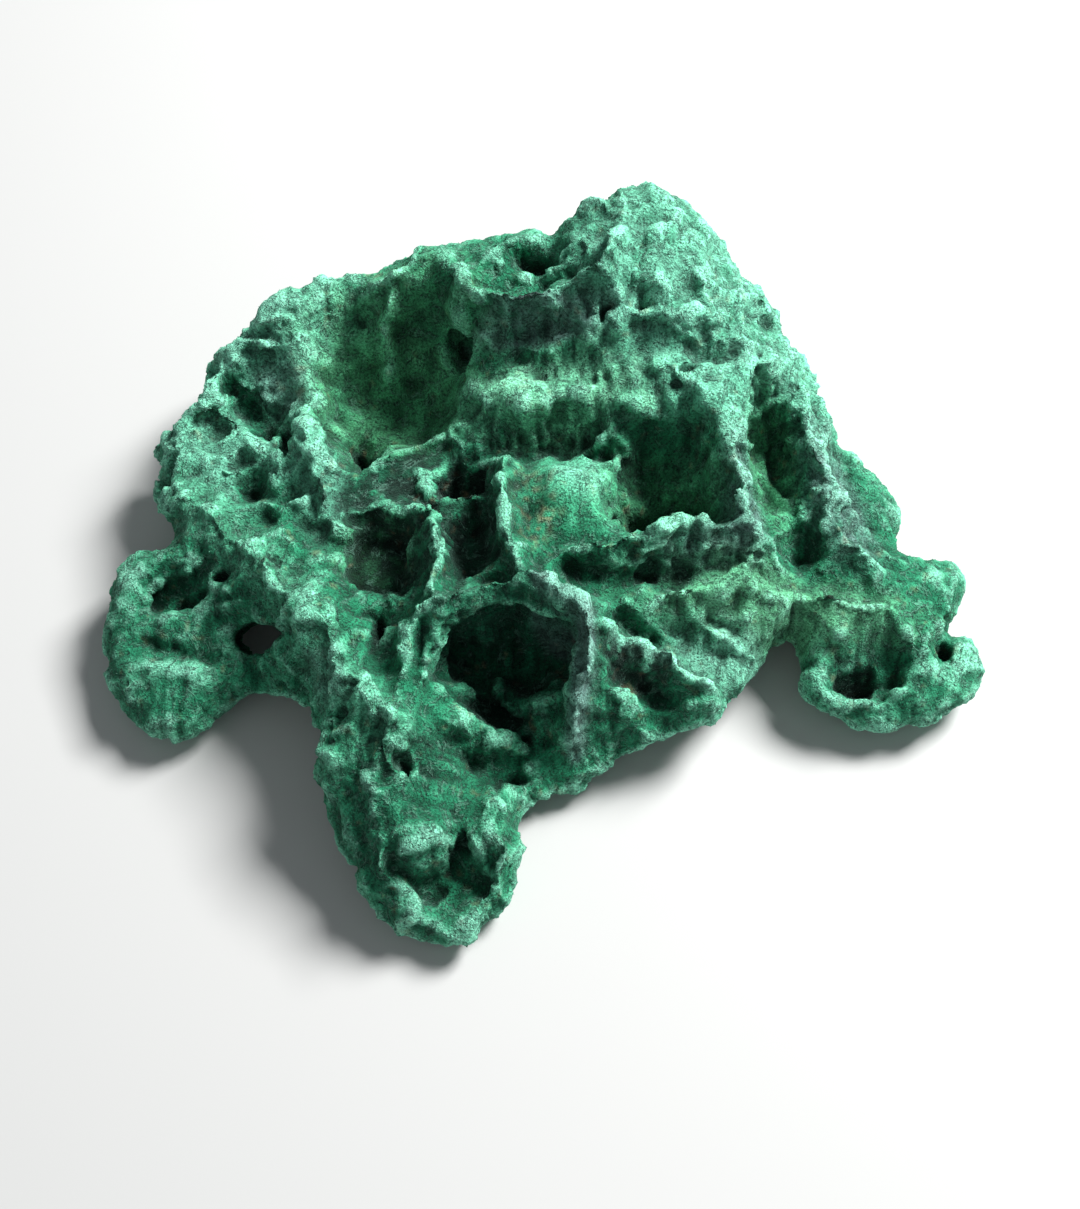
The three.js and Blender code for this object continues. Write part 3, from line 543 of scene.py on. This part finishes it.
# %% Relief
# On a crest the relief only carves, because a swelling there would turn a thin edge into a bead.
def scallops(p, size, seed):
    """Shallow bowls of uneven width that meet in sharp edges."""
    return cells(p, size, seed) ** 2 - 0.42

warp = np.stack([fractal(p, 4.2, 2, seed) for seed in (31, 32, 33)], axis=1)
swell = 0.6 * fractal(p, 8, 2, 5) * (0.5 + 0.5 * rough)
swell += 1.3 * rocky(p + 1.3 * warp, 7.5, 3, 21) * (0.2 + 0.8 * rough)
patchy = 0.35 + 0.65 * ramp(cloud(p, 6, 14), -0.5, 0.5)
bowls = 0.8 * scallops(p * (1, 0.7, 0.7) + 1.6 * warp, 5.4, 8) * patchy
chips = 0.45 * facets(p * (1, 0.8, 0.8) + 0.5 * warp, 5, 18)
carved = swell + (bowls + chips) * (0.08 + 0.92 * rough)
carved += 0.18 * rocky(p * (1, 0.75, 0.75) + 0.6 * warp, 2.1, 2, 25) * (0.2 + 0.8 * rough)
on_crest = ramp(bulge, 0.2, 1.1)
carved = np.where(carved > 0, carved * (1 - 0.8 * on_crest), carved * (1 - 0.2 * on_crest)) - 0.1 * on_crest
pinholes = -0.14 * ramp(cells(p + 0.5 * warp, 1.25, 10), 0.40, 0.14) * rough
strands = (0.10 * fibre + 0.24 * furrow) * (1.1 - 0.5 * rough) * (1 - 0.75 * zone(p, (-19, 26), (10, 9)))
smooth = np.maximum(zone(p, (3, 7), (6.6, 5.8)), 0.7 * zone(p, (-19, 26), (10, 9)))
p += n * ((carved + pinholes + strands) * (1 - 0.8 * smooth))[:, None]
SHARPENING = 0.35
p += SHARPENING * (p - eased(p, pairs, 2))
lay(crust, p)
print("relief added")

# %% [markdown]
# ## Triangle budget
# The fine skin has more triangles than one piece may carry. The underside lies on the table, so it
# gives up most of its faces first, and the rest is thinned evenly.

# %% Down to the budget
def triangles(piece):
    return sum(len(f.vertices) - 2 for f in piece.data.polygons)

alone(crust)
bpy.ops.object.shade_smooth()
up = facing(crust)[:, 2]
under = np.flatnonzero(eased(up, pairs, 6) < -0.35)
group = crust.vertex_groups.new(name="underside")
group.add([int(i) for i in under], 1.0, "REPLACE")
whole = triangles(crust)
UNDERSIDE_GIVES = 0.8
apply(crust, "DECIMATE", ratio=1 - UNDERSIDE_GIVES * len(under) / len(up), vertex_group="underside")
crust.vertex_groups.clear()
BUDGET = 196000
lighter = triangles(crust)
if lighter > BUDGET:
    apply(crust, "DECIMATE", ratio=BUDGET / lighter)
print("triangles", whole, "then", lighter, "then", triangles(crust))

# %% [markdown]
# ## Open sky
# Dust and light reach the crests and not the hollows. So for each point of a thinned copy, rays find
# the share of open sky, and the full skin takes it from the nearest of them.

# %% Sky that each point sees
RAYS, RAY_LENGTH, OFF_THE_SKIN = 28, 22, 0.4
p = points(crust)
n = facing(crust)
pairs = edges(crust)
coarse = crust.copy()
coarse.data = crust.data.copy()
bpy.context.scene.collection.objects.link(coarse)
apply(coarse, "DECIMATE", ratio=0.14)
cp, cn = points(coarse), facing(coarse)
tree = BVHTree.FromPolygons([tuple(v) for v in cp], [tuple(f.vertices) for f in coarse.data.polygons])
random = np.random.default_rng(5)
rays = random.normal(size=(RAYS, 3))
rays /= np.linalg.norm(rays, axis=1, keepdims=True)
seen = np.zeros(len(cp))
for i in range(len(cp)):
    start = Vector(cp[i] + cn[i] * OFF_THE_SKIN)
    ways = rays * np.sign(rays @ cn[i])[:, None]
    clear = total = 0.0
    for way, weight in zip(ways, np.abs(rays @ cn[i])):
        total += weight
        if tree.ray_cast(start, Vector(way), RAY_LENGTH)[0] is None:
            clear += weight
    seen[i] = clear / total
finder = KDTree(len(cp))
for i, v in enumerate(cp):
    finder.insert(v, i)
finder.balance()
sky = np.array([seen[finder.find(v)[1]] for v in p])
sky = eased(sky, pairs, 6)
bpy.data.objects.remove(coarse)
print("sky from", round(float(sky.min()), 2), "to", round(float(sky.max()), 2))

# %% [markdown]
# ## Paint
# The colour is painted on the points in layers, as a model maker would: near black and deep green in what is
# hidden and mid green on what is open, a painted shade that follows the share of open sky, a pale green on
# open bulges and edges, partly painted light, a pale mint dust on the crests, and tints by region.

# %% Layers of colour
def srgb(r, g, b):
    c = np.array([r, g, b]) / 255
    return np.where(c <= 0.04045, c / 12.92, ((c + 0.055) / 1.055) ** 2.4)

NEAR_BLACK = srgb(16, 50, 38)
DEEP = srgb(18, 78, 56)
MID = srgb(34, 120, 86)
PALE = srgb(84, 168, 132)
MINT = srgb(142, 212, 186)
OLIVE = srgb(86, 138, 84)
FERN = srgb(94, 176, 124)
GREY = srgb(120, 138, 142)
DUSK = srgb(17, 42, 33)
BUFF = srgb(142, 114, 88)
BLOOM_AND_PAINTED_LIGHT = srgb(122, 200, 170)
CURTAIN = srgb(122, 200, 160)
DOME = srgb(66, 166, 124)
BAND = srgb(104, 176, 132)

def over(base, tint, mask):
    return base + (tint - base) * np.clip(mask, 0, 1)[:, None]

nick, edge, bulge = levels(p, n, pairs, 5, 20, 60)
pitted = parts_of(p)[1]
fibre = combed(p, pairs, downhill(n, pairs), 12, 18)
speckle = fractal(p, 1.4, 2, 99)
tone = 0.6 * fractal(p, 7, 3, 81) + 0.35 * fractal(p, 2.2, 2, 82)
# Painted shade: where little sky is open the colour goes to near black and deep green, and open parts go to
# mid green.
light = ramp(sky + 0.12 * tone, 0.0, 0.70)
paint = over(np.tile(NEAR_BLACK, (len(p), 1)), DEEP, ramp(light, 0.0, 0.3))
paint = over(paint, MID, ramp(light + 0.25 * tone + 0.2 * edge, 0.25, 0.9))
# A pale green on open bulges and edges: partly painted light, growing with the share of open sky.
paint = over(paint, PALE, ramp(0.45 * light + 0.35 * bulge + 0.3 * edge + 0.4 * tone, 0.45, 1.2))
print("paint laid; edge", np.percentile(edge, (5, 50, 95)).round(2),
      "nick", np.percentile(nick, (5, 50, 95)).round(2))

# %% [markdown]
# ## Tints by region
# Parts of the real crust have their own tint: a pale bloom on the peak and the rim, fern green in the basin,
# an almost turquoise curtain. Some of the pale is painted light: the peak and the rim grow paler where they
# see open sky, the curtain and a face in the right band are painted pale though the window does not reach
# them, and the dome has a painted highlight on its window side. They could be one image, but an image needs
# UVs and a file. Soft ovals and lines on the plan do the same in a few words each.

# %% Pale and fern tints: peak, rim, spur, bowl, front ridge, basin
front_ridge = next(path for name, path, _, _ in ridges if name == "front left ridge")
# Peak and rim: a pale bloom that grows where the sky is open, so partly painted light on open faces.
paint = over(paint, BLOOM_AND_PAINTED_LIGHT, 0.72 * zone(p, (22, 31), (19, 14), -40) * ramp(sky + 0.25 * tone, 0.35, 0.75))
paint = over(paint, BLOOM_AND_PAINTED_LIGHT, 0.65 * zone(p, (-36, 24), (11, 16), -35) * ramp(sky + 0.3 * tone, 0.4, 0.85))
paint = over(paint, BLOOM_AND_PAINTED_LIGHT, 0.6 * zone(p, (-27.5, 10.5), (3.2, 7), 14))
paint = over(paint, OLIVE, 0.35 * zone(p, (-20.2, 2), (4.5, 4)))
paint = over(paint, PALE, 0.75 * near_line(p, front_ridge, 3.2) * (0.8 + 0.6 * speckle))
paint = over(paint, FERN, 0.75 * zone(p, (-19, 26), (11, 10)) * ramp(sky, 0.05, 0.4) * (0.85 + 0.3 * tone))
print("open parts tinted, mean", paint.mean(0).round(3))

# %% Curtain and dome
# The curtain is painted pale, a painted light on a face the window does not reach, with its fibre streaks.
paint = over(paint, CURTAIN, 0.85 * zone(p, (2, 20), (11, 4.6)) * (0.8 + 0.5 * fibre))
paint = over(paint, DOME, 0.85 * zone(p, (3.2, 7.2), (6.2, 5)))
# A painted highlight on the side of the dome that faces the window.
paint = over(paint, BLOOM_AND_PAINTED_LIGHT, 0.6 * zone(p, (4.8, 8.6), (3.4, 3)))
paint = over(paint, BUFF, 0.6 * zone(p, (-0.6, 4.5), (2.6, 5)) * ramp(cloud(p, 0.9, 98), 0.0, 0.4))
print("curtain and dome tinted, mean", paint.mean(0).round(3))

# %% Grey coats and the right band
# Each entry is a place on the plan, the radii, the turn and how strong the tint is.
grey_coats = [
    ((24.5, 6), (2.6, 7), 5, 0.6), ((37, 9), (4, 9), 25, 0.6), ((1, 27.5), (9, 2), 0, 0.6),
    ((20, -0.5), (6, 2), 15, 0.45), ((5, -15), (1.5, 7), -5, 0.45), ((-33.5, 25), (3.4, 2.8), 0, 0.5),
    ((-25, -15), (2, 4), 30, 0.3),
]
for at, r, turn, mask in grey_coats:
    paint = over(paint, GREY, mask * zone(p, at, r, turn) * (0.7 + 0.5 * cloud(p, 1.3, 95)))
paint = over(paint, BAND, 0.65 * zone(p, (29, -5), (16, 4)) * ramp(sky, 0.3, 0.8))
# Painted light: a face in the right band that faces away from the window is painted mint.
paint = over(paint, MINT, 0.65 * zone(p, (21.5, -10.5), (6, 3.6)) * (0.8 + 0.5 * tone))
paint = over(paint, MINT, 0.6 * near_line(p, [(9, -11.6), (14.5, -12), (17, -13.2), (20.5, -15)], 0.9))
mottle = ramp(cloud(p, 3.2, 88) + 0.5 * cloud(p, 1.4, 89), 0.15, 0.6)
paint = over(paint, MID, 0.55 * zone(p, (22, 32), (16, 12), -40) * mottle)
# Painted shade: the left arm and the leg, which face away from the window, are made darker.
paint = over(paint, DEEP, 0.35 * np.maximum(zone(p, (-46, -6), (9, 11)), zone(p, (-15, -34), (10, 10))))
paint = over(paint, FERN, 0.45 * np.maximum(zone(p, (15, 8), (7, 6)), zone(p, (29, 13), (3, 8), 8)))
print("grey coats laid, mean", paint.mean(0).round(3))

# %% Painted shade and dark stone in the hollows
shaded_dark_hollows = [
    ((-19.8, 1.5), (6.5, 5.6), 0, 0.55), ((-17.5, 10.5), (8, 4.4), 0, 0.8), ((-9, 11.2),
     (4.4, 2.8), 0, 0.8),
    ((-8.2, -0.8), (4.4, 4.6), 0, 0.75), ((-18.8, -10), (2, 4), -10, 0.8), ((-5, -13.5), (8, 6), 0, 0.5),
    ((12, -3), (7, 1.3), 5, 0.7), ((-14.5, 6), (11, 10), 0, 0.9), ((11, -13.5), (5, 2.4), 0, 1.0),
    ((39.8, -11.8), (3.2, 3), 0, 1.0), ((11, 12), (2.5, 2), 0, 0.6), ((1, 28.2), (9, 1.5), 0, 0.15),
    ((-12, -24.5), (6, 3), 0, 0.5), ((2, 15.4), (9, 1.5), 0, 0.6), ((-27, 18), (3, 2.4), -30, 0.6),
    ((-33, 20), (3.4, 2.6), 20, 0.5),
]
# A dark green, strongest where the skin is concave: partly painted shade where the ridges hide the window,
# partly dark brownish stone.
for at, r, turn, mask in shaded_dark_hollows:
    paint = over(paint, DUSK, mask * zone(p, at, r, turn) * (0.85 + 0.6 * speckle) * ramp(edge, 0.35, -0.05))
crumbs = ramp(cloud(p, 1.1, 96) + 0.3 * cloud(p, 5, 97), 0.55, 0.8)
paint = over(paint, BUFF, 0.55 * crumbs * (1 - 0.5 * ramp(sky, 0.2, 0.7)))
print("hollows darkened, mean", paint.mean(0).round(3))

# %% Threads and crests
threaded = 0.35 + 0.65 * np.maximum(zone(p, (1.5, 20), (11, 5)), ramp(sky, 0.55, 0.25))
paint = paint * (1 + 0.26 * fibre * threaded * ramp(sky, 0.05, 0.4))[:, None]
crest = ramp(0.7 * edge + 0.8 * bulge + 0.75 * fractal(p, 3.4, 3, 91), 0.35, 1.35)
crest *= 1 - 0.8 * zone(p, (3.2, 7.2), (6, 4.6))
paint = over(paint, MINT, 0.4 * crest * ramp(sky, 0.3, 0.8))
paint = over(paint, DEEP, 0.6 * near_line(p, [(-11.5, -9.2), (-6.5, -7.6), (-1, -5.6)], 1.6))
branch = [(0, -6), (2.5, -8), (5.2, -10), (5.2, -13.5), (4.3, -18), (4, -21.5)]
paint = over(paint, GREY, 0.35 * near_line(p, branch, 1.2))
# Darker in fine nicks and creases, a painted shade, and a little paler on fine edges.
nick_shade_and_pale_edges = 1 + np.clip(1.8 * nick, -0.5, 0.25) + np.clip(0.5 * edge, -0.25, 0.1)
paint = np.clip(paint * nick_shade_and_pale_edges[:, None], 0.001, 0.9)

# %% Kept on the points
def store(piece, name, values):
    layer = piece.data.attributes.new(name, "FLOAT_COLOR" if values.ndim == 2 else "FLOAT", "POINT")
    if values.ndim == 2:
        layer.data.foreach_set("color", np.column_stack([values, np.ones(len(values))]).ravel())
    else:
        layer.data.foreach_set("value", values)

store(crust, "paint", paint)
store(crust, "crest", np.clip(crest + 0.3 * pitted, 0, 1) * ramp(sky, 0.1, 0.6))
print("mean colour", paint.mean(0).round(3))

# %% [markdown]
# ## Shader
# The painted colour is broken up by grain, by tiny dark pinholes and creases and by bright specks, all of
# them finer than the mesh. On the real crust they are gaps between tufts and the tips of needles. The dark of
# the pinholes and creases is painted shade, and the glints are painted highlights.

# %% Shader sums
class Value:
    """A socket that sums can be written with: each operator adds its Math node."""

    def __init__(self, tree, socket):
        self.tree, self.socket = tree, socket

    def sum(self, operation, a, b):
        return self.tree.add("ShaderNodeMath", {"operation": operation}, {0: a, 1: b})

    def __add__(self, other): return self.sum("ADD", self, other)
    def __radd__(self, other): return self.sum("ADD", other, self)
    def __sub__(self, other): return self.sum("SUBTRACT", self, other)
    def __rsub__(self, other): return self.sum("SUBTRACT", other, self)
    def __mul__(self, other): return self.sum("MULTIPLY", self, other)
    def __rmul__(self, other): return self.sum("MULTIPLY", other, self)
    def __abs__(self): return self.sum("ABSOLUTE", self, 0.0)


class Tree:
    """A material's node tree. add() makes any node: its type, its settings, then its sockets."""

    def __init__(self, name):
        self.material = bpy.data.materials.new(name)
        self.material.use_nodes = True
        self.nodes = self.material.node_tree.nodes
        self.links = self.material.node_tree.links
        self.nodes.clear()

    def add(self, kind, settings=None, sockets=None, out=0):
        node = self.nodes.new(kind)
        for name, value in (settings or {}).items():
            setattr(node, name, value)
        for key, value in (sockets or {}).items():
            if isinstance(value, Value):
                self.links.new(value.socket, node.inputs[key])
            else:
                node.inputs[key].default_value = value
        return Value(self, node.outputs[out]) if len(node.outputs) else node

    def grain(self, vector, scale, detail, **more):
        sockets = {"Vector": vector, "Scale": scale, "Detail": detail, **more}
        return self.add("ShaderNodeTexNoise", sockets=sockets)

    def mix(self, mask, a, b, blend="MIX"):
        return self.add("ShaderNodeMix", {"data_type": "RGBA", "blend_type": blend}, {0: mask, 6: a, 7: b}, 2)

    def ramp(self, value, low, high):
        return self.add("ShaderNodeMapRange", {"interpolation_type": "SMOOTHSTEP"},
                        {"Value": value, "From Min": low, "From Max": high})

# %% Velvet finish
velvet = Tree("velvet_malachite")
place = velvet.add("ShaderNodeTexCoord", out=3)
mm = velvet.add("ShaderNodeVectorMath", {"operation": "SCALE"}, {0: place, "Scale": 1000.0})
colour = velvet.add("ShaderNodeAttribute", {"attribute_name": "paint"})
crest_at = velvet.add("ShaderNodeAttribute", {"attribute_name": "crest"}, out=2)
grain = velvet.grain(mm, 3.4, 3.0, Roughness=0.65)
dust = velvet.grain(mm, 7.5, 1.0)
patch = velvet.grain(mm, 0.8, 3.0)
tip = velvet.add("ShaderNodeTexVoronoi", sockets={"Vector": mm, "Scale": 3.1})
down = velvet.add("ShaderNodeVectorMath", {"operation": "MULTIPLY"}, {0: mm, 1: (3.6, 3.6, 0.6)})
pile = velvet.grain(down, 1.0, 2.0)
vein = velvet.grain(mm, 0.40, 5.0, Roughness=0.62, Distortion=0.7)
print("grain, dust, patches, pile and veins ready")

# %% Marks and their colours
crease = velvet.ramp(abs(vein - 0.5), 0.030, 0.0) * velvet.ramp(patch, 0.35, 0.60)
lip = velvet.ramp(abs(vein - 0.555), 0.040, 0.0) * velvet.ramp(patch, 0.42, 0.62)
pinhole = velvet.ramp(grain, 0.44, 0.34) * velvet.ramp(patch, 0.38, 0.62)
shade = velvet.ramp(grain, 0.36, 0.64) * 0.65 + velvet.ramp(dust, 0.35, 0.65) * 0.35 + 0.50
grey_shade = velvet.add("ShaderNodeCombineColor", sockets={0: shade, 1: shade, 2: shade})
lit = velvet.mix(1.0, colour, grey_shade, "MULTIPLY")
bright = velvet.ramp(grain, 0.56, 0.68) * velvet.ramp(crest_at + patch * 0.6, 0.40, 1.0)
glint = velvet.ramp(tip, 0.18, 0.07) * velvet.ramp(crest_at + patch * 0.5, 0.45, 0.9)
# Pinholes and creases are darkened: painted shade in the gaps between tufts.
finish = velvet.mix(pinhole * 0.75, lit, (0.004, 0.026, 0.018, 1))
finish = velvet.mix(crease * 0.32, finish, (0.006, 0.050, 0.034, 1))
finish = velvet.mix(lip * 0.28, finish, (0.30, 0.66, 0.50, 1))
finish = velvet.mix(bright * 0.4, finish, (0.36, 0.74, 0.58, 1))
# Glints: painted highlights, the sparkle of needle tips on open crests.
finish = velvet.mix(glint * 0.85, finish, (0.60, 0.80, 0.74, 1))
print("pinholes, creases, lips, bright specks and glints mixed in")

# %% The shader
relief = grain * 0.9 + pile * 0.4 + dust * 0.3 - pinhole * 0.5 - crease * 0.8 + lip * 0.6
bumped = velvet.add("ShaderNodeBump", sockets={"Strength": 1.0, "Distance": 0.00030, "Height": relief})
shader = velvet.add("ShaderNodeBsdfPrincipled", sockets={
    "Base Color": finish, "Roughness": 0.95 - 0.35 * glint, "Normal": bumped, "IOR": 1.5,
    "Specular IOR Level": 0.25, "Sheen Weight": 0.12, "Sheen Roughness": 0.4,
    "Sheen Tint": (0.45, 0.9, 0.7, 1)})
velvet.add("ShaderNodeOutputMaterial", sockets={"Surface": shader})
crust.data.materials.clear()
crust.data.materials.append(velvet.material)
print("velvet finish on")

# %% [markdown]
# ## Nap
# The bloom of velvet malachite comes from tufts of needles that stand on the skin. They could be hair, but
# hair is lost in an export, so each is a tiny pointed splinter with three sides. One splinter is modelled
# from a cone whose tip is pulled aside. Tens of thousands of single objects would be too slow to join, so its
# points are laid out in code, as one mesh. The copies lean downhill like a brushed pile and take the colour
# of the skin at their foot.

# %% One splinter, one unit wide and one unit long
bpy.ops.object.select_all(action="DESELECT")
bpy.ops.mesh.primitive_cone_add(vertices=3, radius1=1, radius2=0, depth=1, location=(0, 0, 0.5))
pattern = bpy.context.active_object
bpy.ops.object.transform_apply(location=True, rotation=True, scale=True)
bpy.ops.object.mode_set(mode="EDIT")
bpy.ops.mesh.select_all(action="DESELECT")
bpy.ops.mesh.select_mode(type="VERT")
bpy.ops.object.mode_set(mode="OBJECT")
for vertex in pattern.data.vertices:
    vertex.select = vertex.co.z > 0.9
bpy.ops.object.mode_set(mode="EDIT")
TIP_ASIDE = 0.35
bpy.ops.transform.translate(value=(TIP_ASIDE, 0, 0))
bpy.ops.object.mode_set(mode="OBJECT")
one_splinter = np.array([vertex.co[:] for vertex in pattern.data.vertices])
its_sides = np.array([face.vertices[:] for face in pattern.data.polygons])
is_tip = one_splinter[:, 2] > 0.9
bpy.data.objects.remove(pattern)
print("one splinter", one_splinter.round(2).tolist(), "sides", its_sides.tolist())

# %% Splinters
def nap(name, count, length, width, seed):
    random = np.random.default_rng(seed)
    crust.data.calc_loop_triangles()
    faces = np.empty(len(crust.data.loop_triangles) * 3, np.int64)
    crust.data.loop_triangles.foreach_get("vertices", faces)
    faces = faces.reshape(-1, 3)
    a, b, c = (p[faces[:, k]] for k in range(3))
    area = np.linalg.norm(np.cross(b - a, c - a), axis=1) / 2
    open_up = (0.06 + ramp(n[faces[:, 0], 2], -0.3, 0.3)) * (0.35 + 0.65 * ramp(sky[faces[:, 0]], 0.1, 0.5))
    share = area * open_up
    face = random.choice(len(faces), count, p=share / share.sum())
    s, t = random.random(count), random.random(count)
    s, t = np.where(s + t > 1, 1 - s, s), np.where(s + t > 1, 1 - t, t)
    foot = a[face] + s[:, None] * (b[face] - a[face]) + t[:, None] * (c[face] - a[face])
    at = faces[face, 0]
    way = 0.7 * n[at] + 0.55 * fall[at] + 0.38 * random.normal(size=(count, 3))
    way /= np.linalg.norm(way, axis=1, keepdims=True)
    side = np.cross(way, random.normal(size=(count, 3)))
    side /= np.linalg.norm(side, axis=1, keepdims=True) + 1e-9
    other = np.cross(way, side)
    long = length * (0.45 + 0.9 * random.random(count))[:, None]
    thick = width * (0.7 + 0.6 * random.random(count))[:, None]
    root = foot - 0.12 * n[at]
    corners = [root + z * (foot - root) + thick * (x * side + y * other) + z * long * way
               for x, y, z in one_splinter]
    spots = np.stack(corners, axis=1).reshape(-1, 3)
    spots[:, 2] = np.maximum(spots[:, 2], 0)
    first = len(one_splinter) * np.arange(count)[:, None]
    sides = np.concatenate([first + side_of for side_of in its_sides])
    mesh = bpy.data.meshes.new(name)
    mesh.from_pydata((spots - PLAN_MIDDLE) * MM, [], sides.tolist())
    piece = bpy.data.objects.new(name, mesh)
    bpy.context.scene.collection.objects.link(piece)
    shade = np.exp(0.32 * random.normal(size=count))[:, None] * (0.8 + 0.25 * crest[at])[:, None]
    tip = np.clip(paint[at] * shade, 0.002, 0.9)
    # Some tips on open crests turn mint: painted glints.
    tip_glint = ((random.random(count) < 0.10 + 0.25 * crest[at]) * ramp(sky[at], 0.2, 0.6))[:, None]
    tip = tip + (MINT - tip) * 0.75 * tip_glint
    # The root ends are darker than the tips: painted shade at the foot of the pile.
    tones = np.stack([tip if end else 0.75 * paint[at] for end in is_tip], axis=1).reshape(-1, 3)
    store(piece, "paint", tones)
    mesh.materials.append(splinter.material)
    print(name, count, "splinters")
    return piece

splinter = Tree("splinter")
tone_at = splinter.add("ShaderNodeAttribute", {"attribute_name": "paint"})
needle = splinter.add("ShaderNodeBsdfPrincipled", sockets={
    "Base Color": tone_at, "Roughness": 0.6, "Specular IOR Level": 0.35})
splinter.add("ShaderNodeOutputMaterial", sockets={"Surface": needle})
fall = downhill(n, pairs)
SPLINTERS, LONG, THICK = 42000, 0.17, 0.08
pile_piece = nap("nap", SPLINTERS, LONG, THICK, 21)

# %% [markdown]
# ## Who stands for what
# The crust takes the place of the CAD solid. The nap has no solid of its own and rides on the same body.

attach(pile_piece, "root")
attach(crust, "root")
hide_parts("malachite_mass")
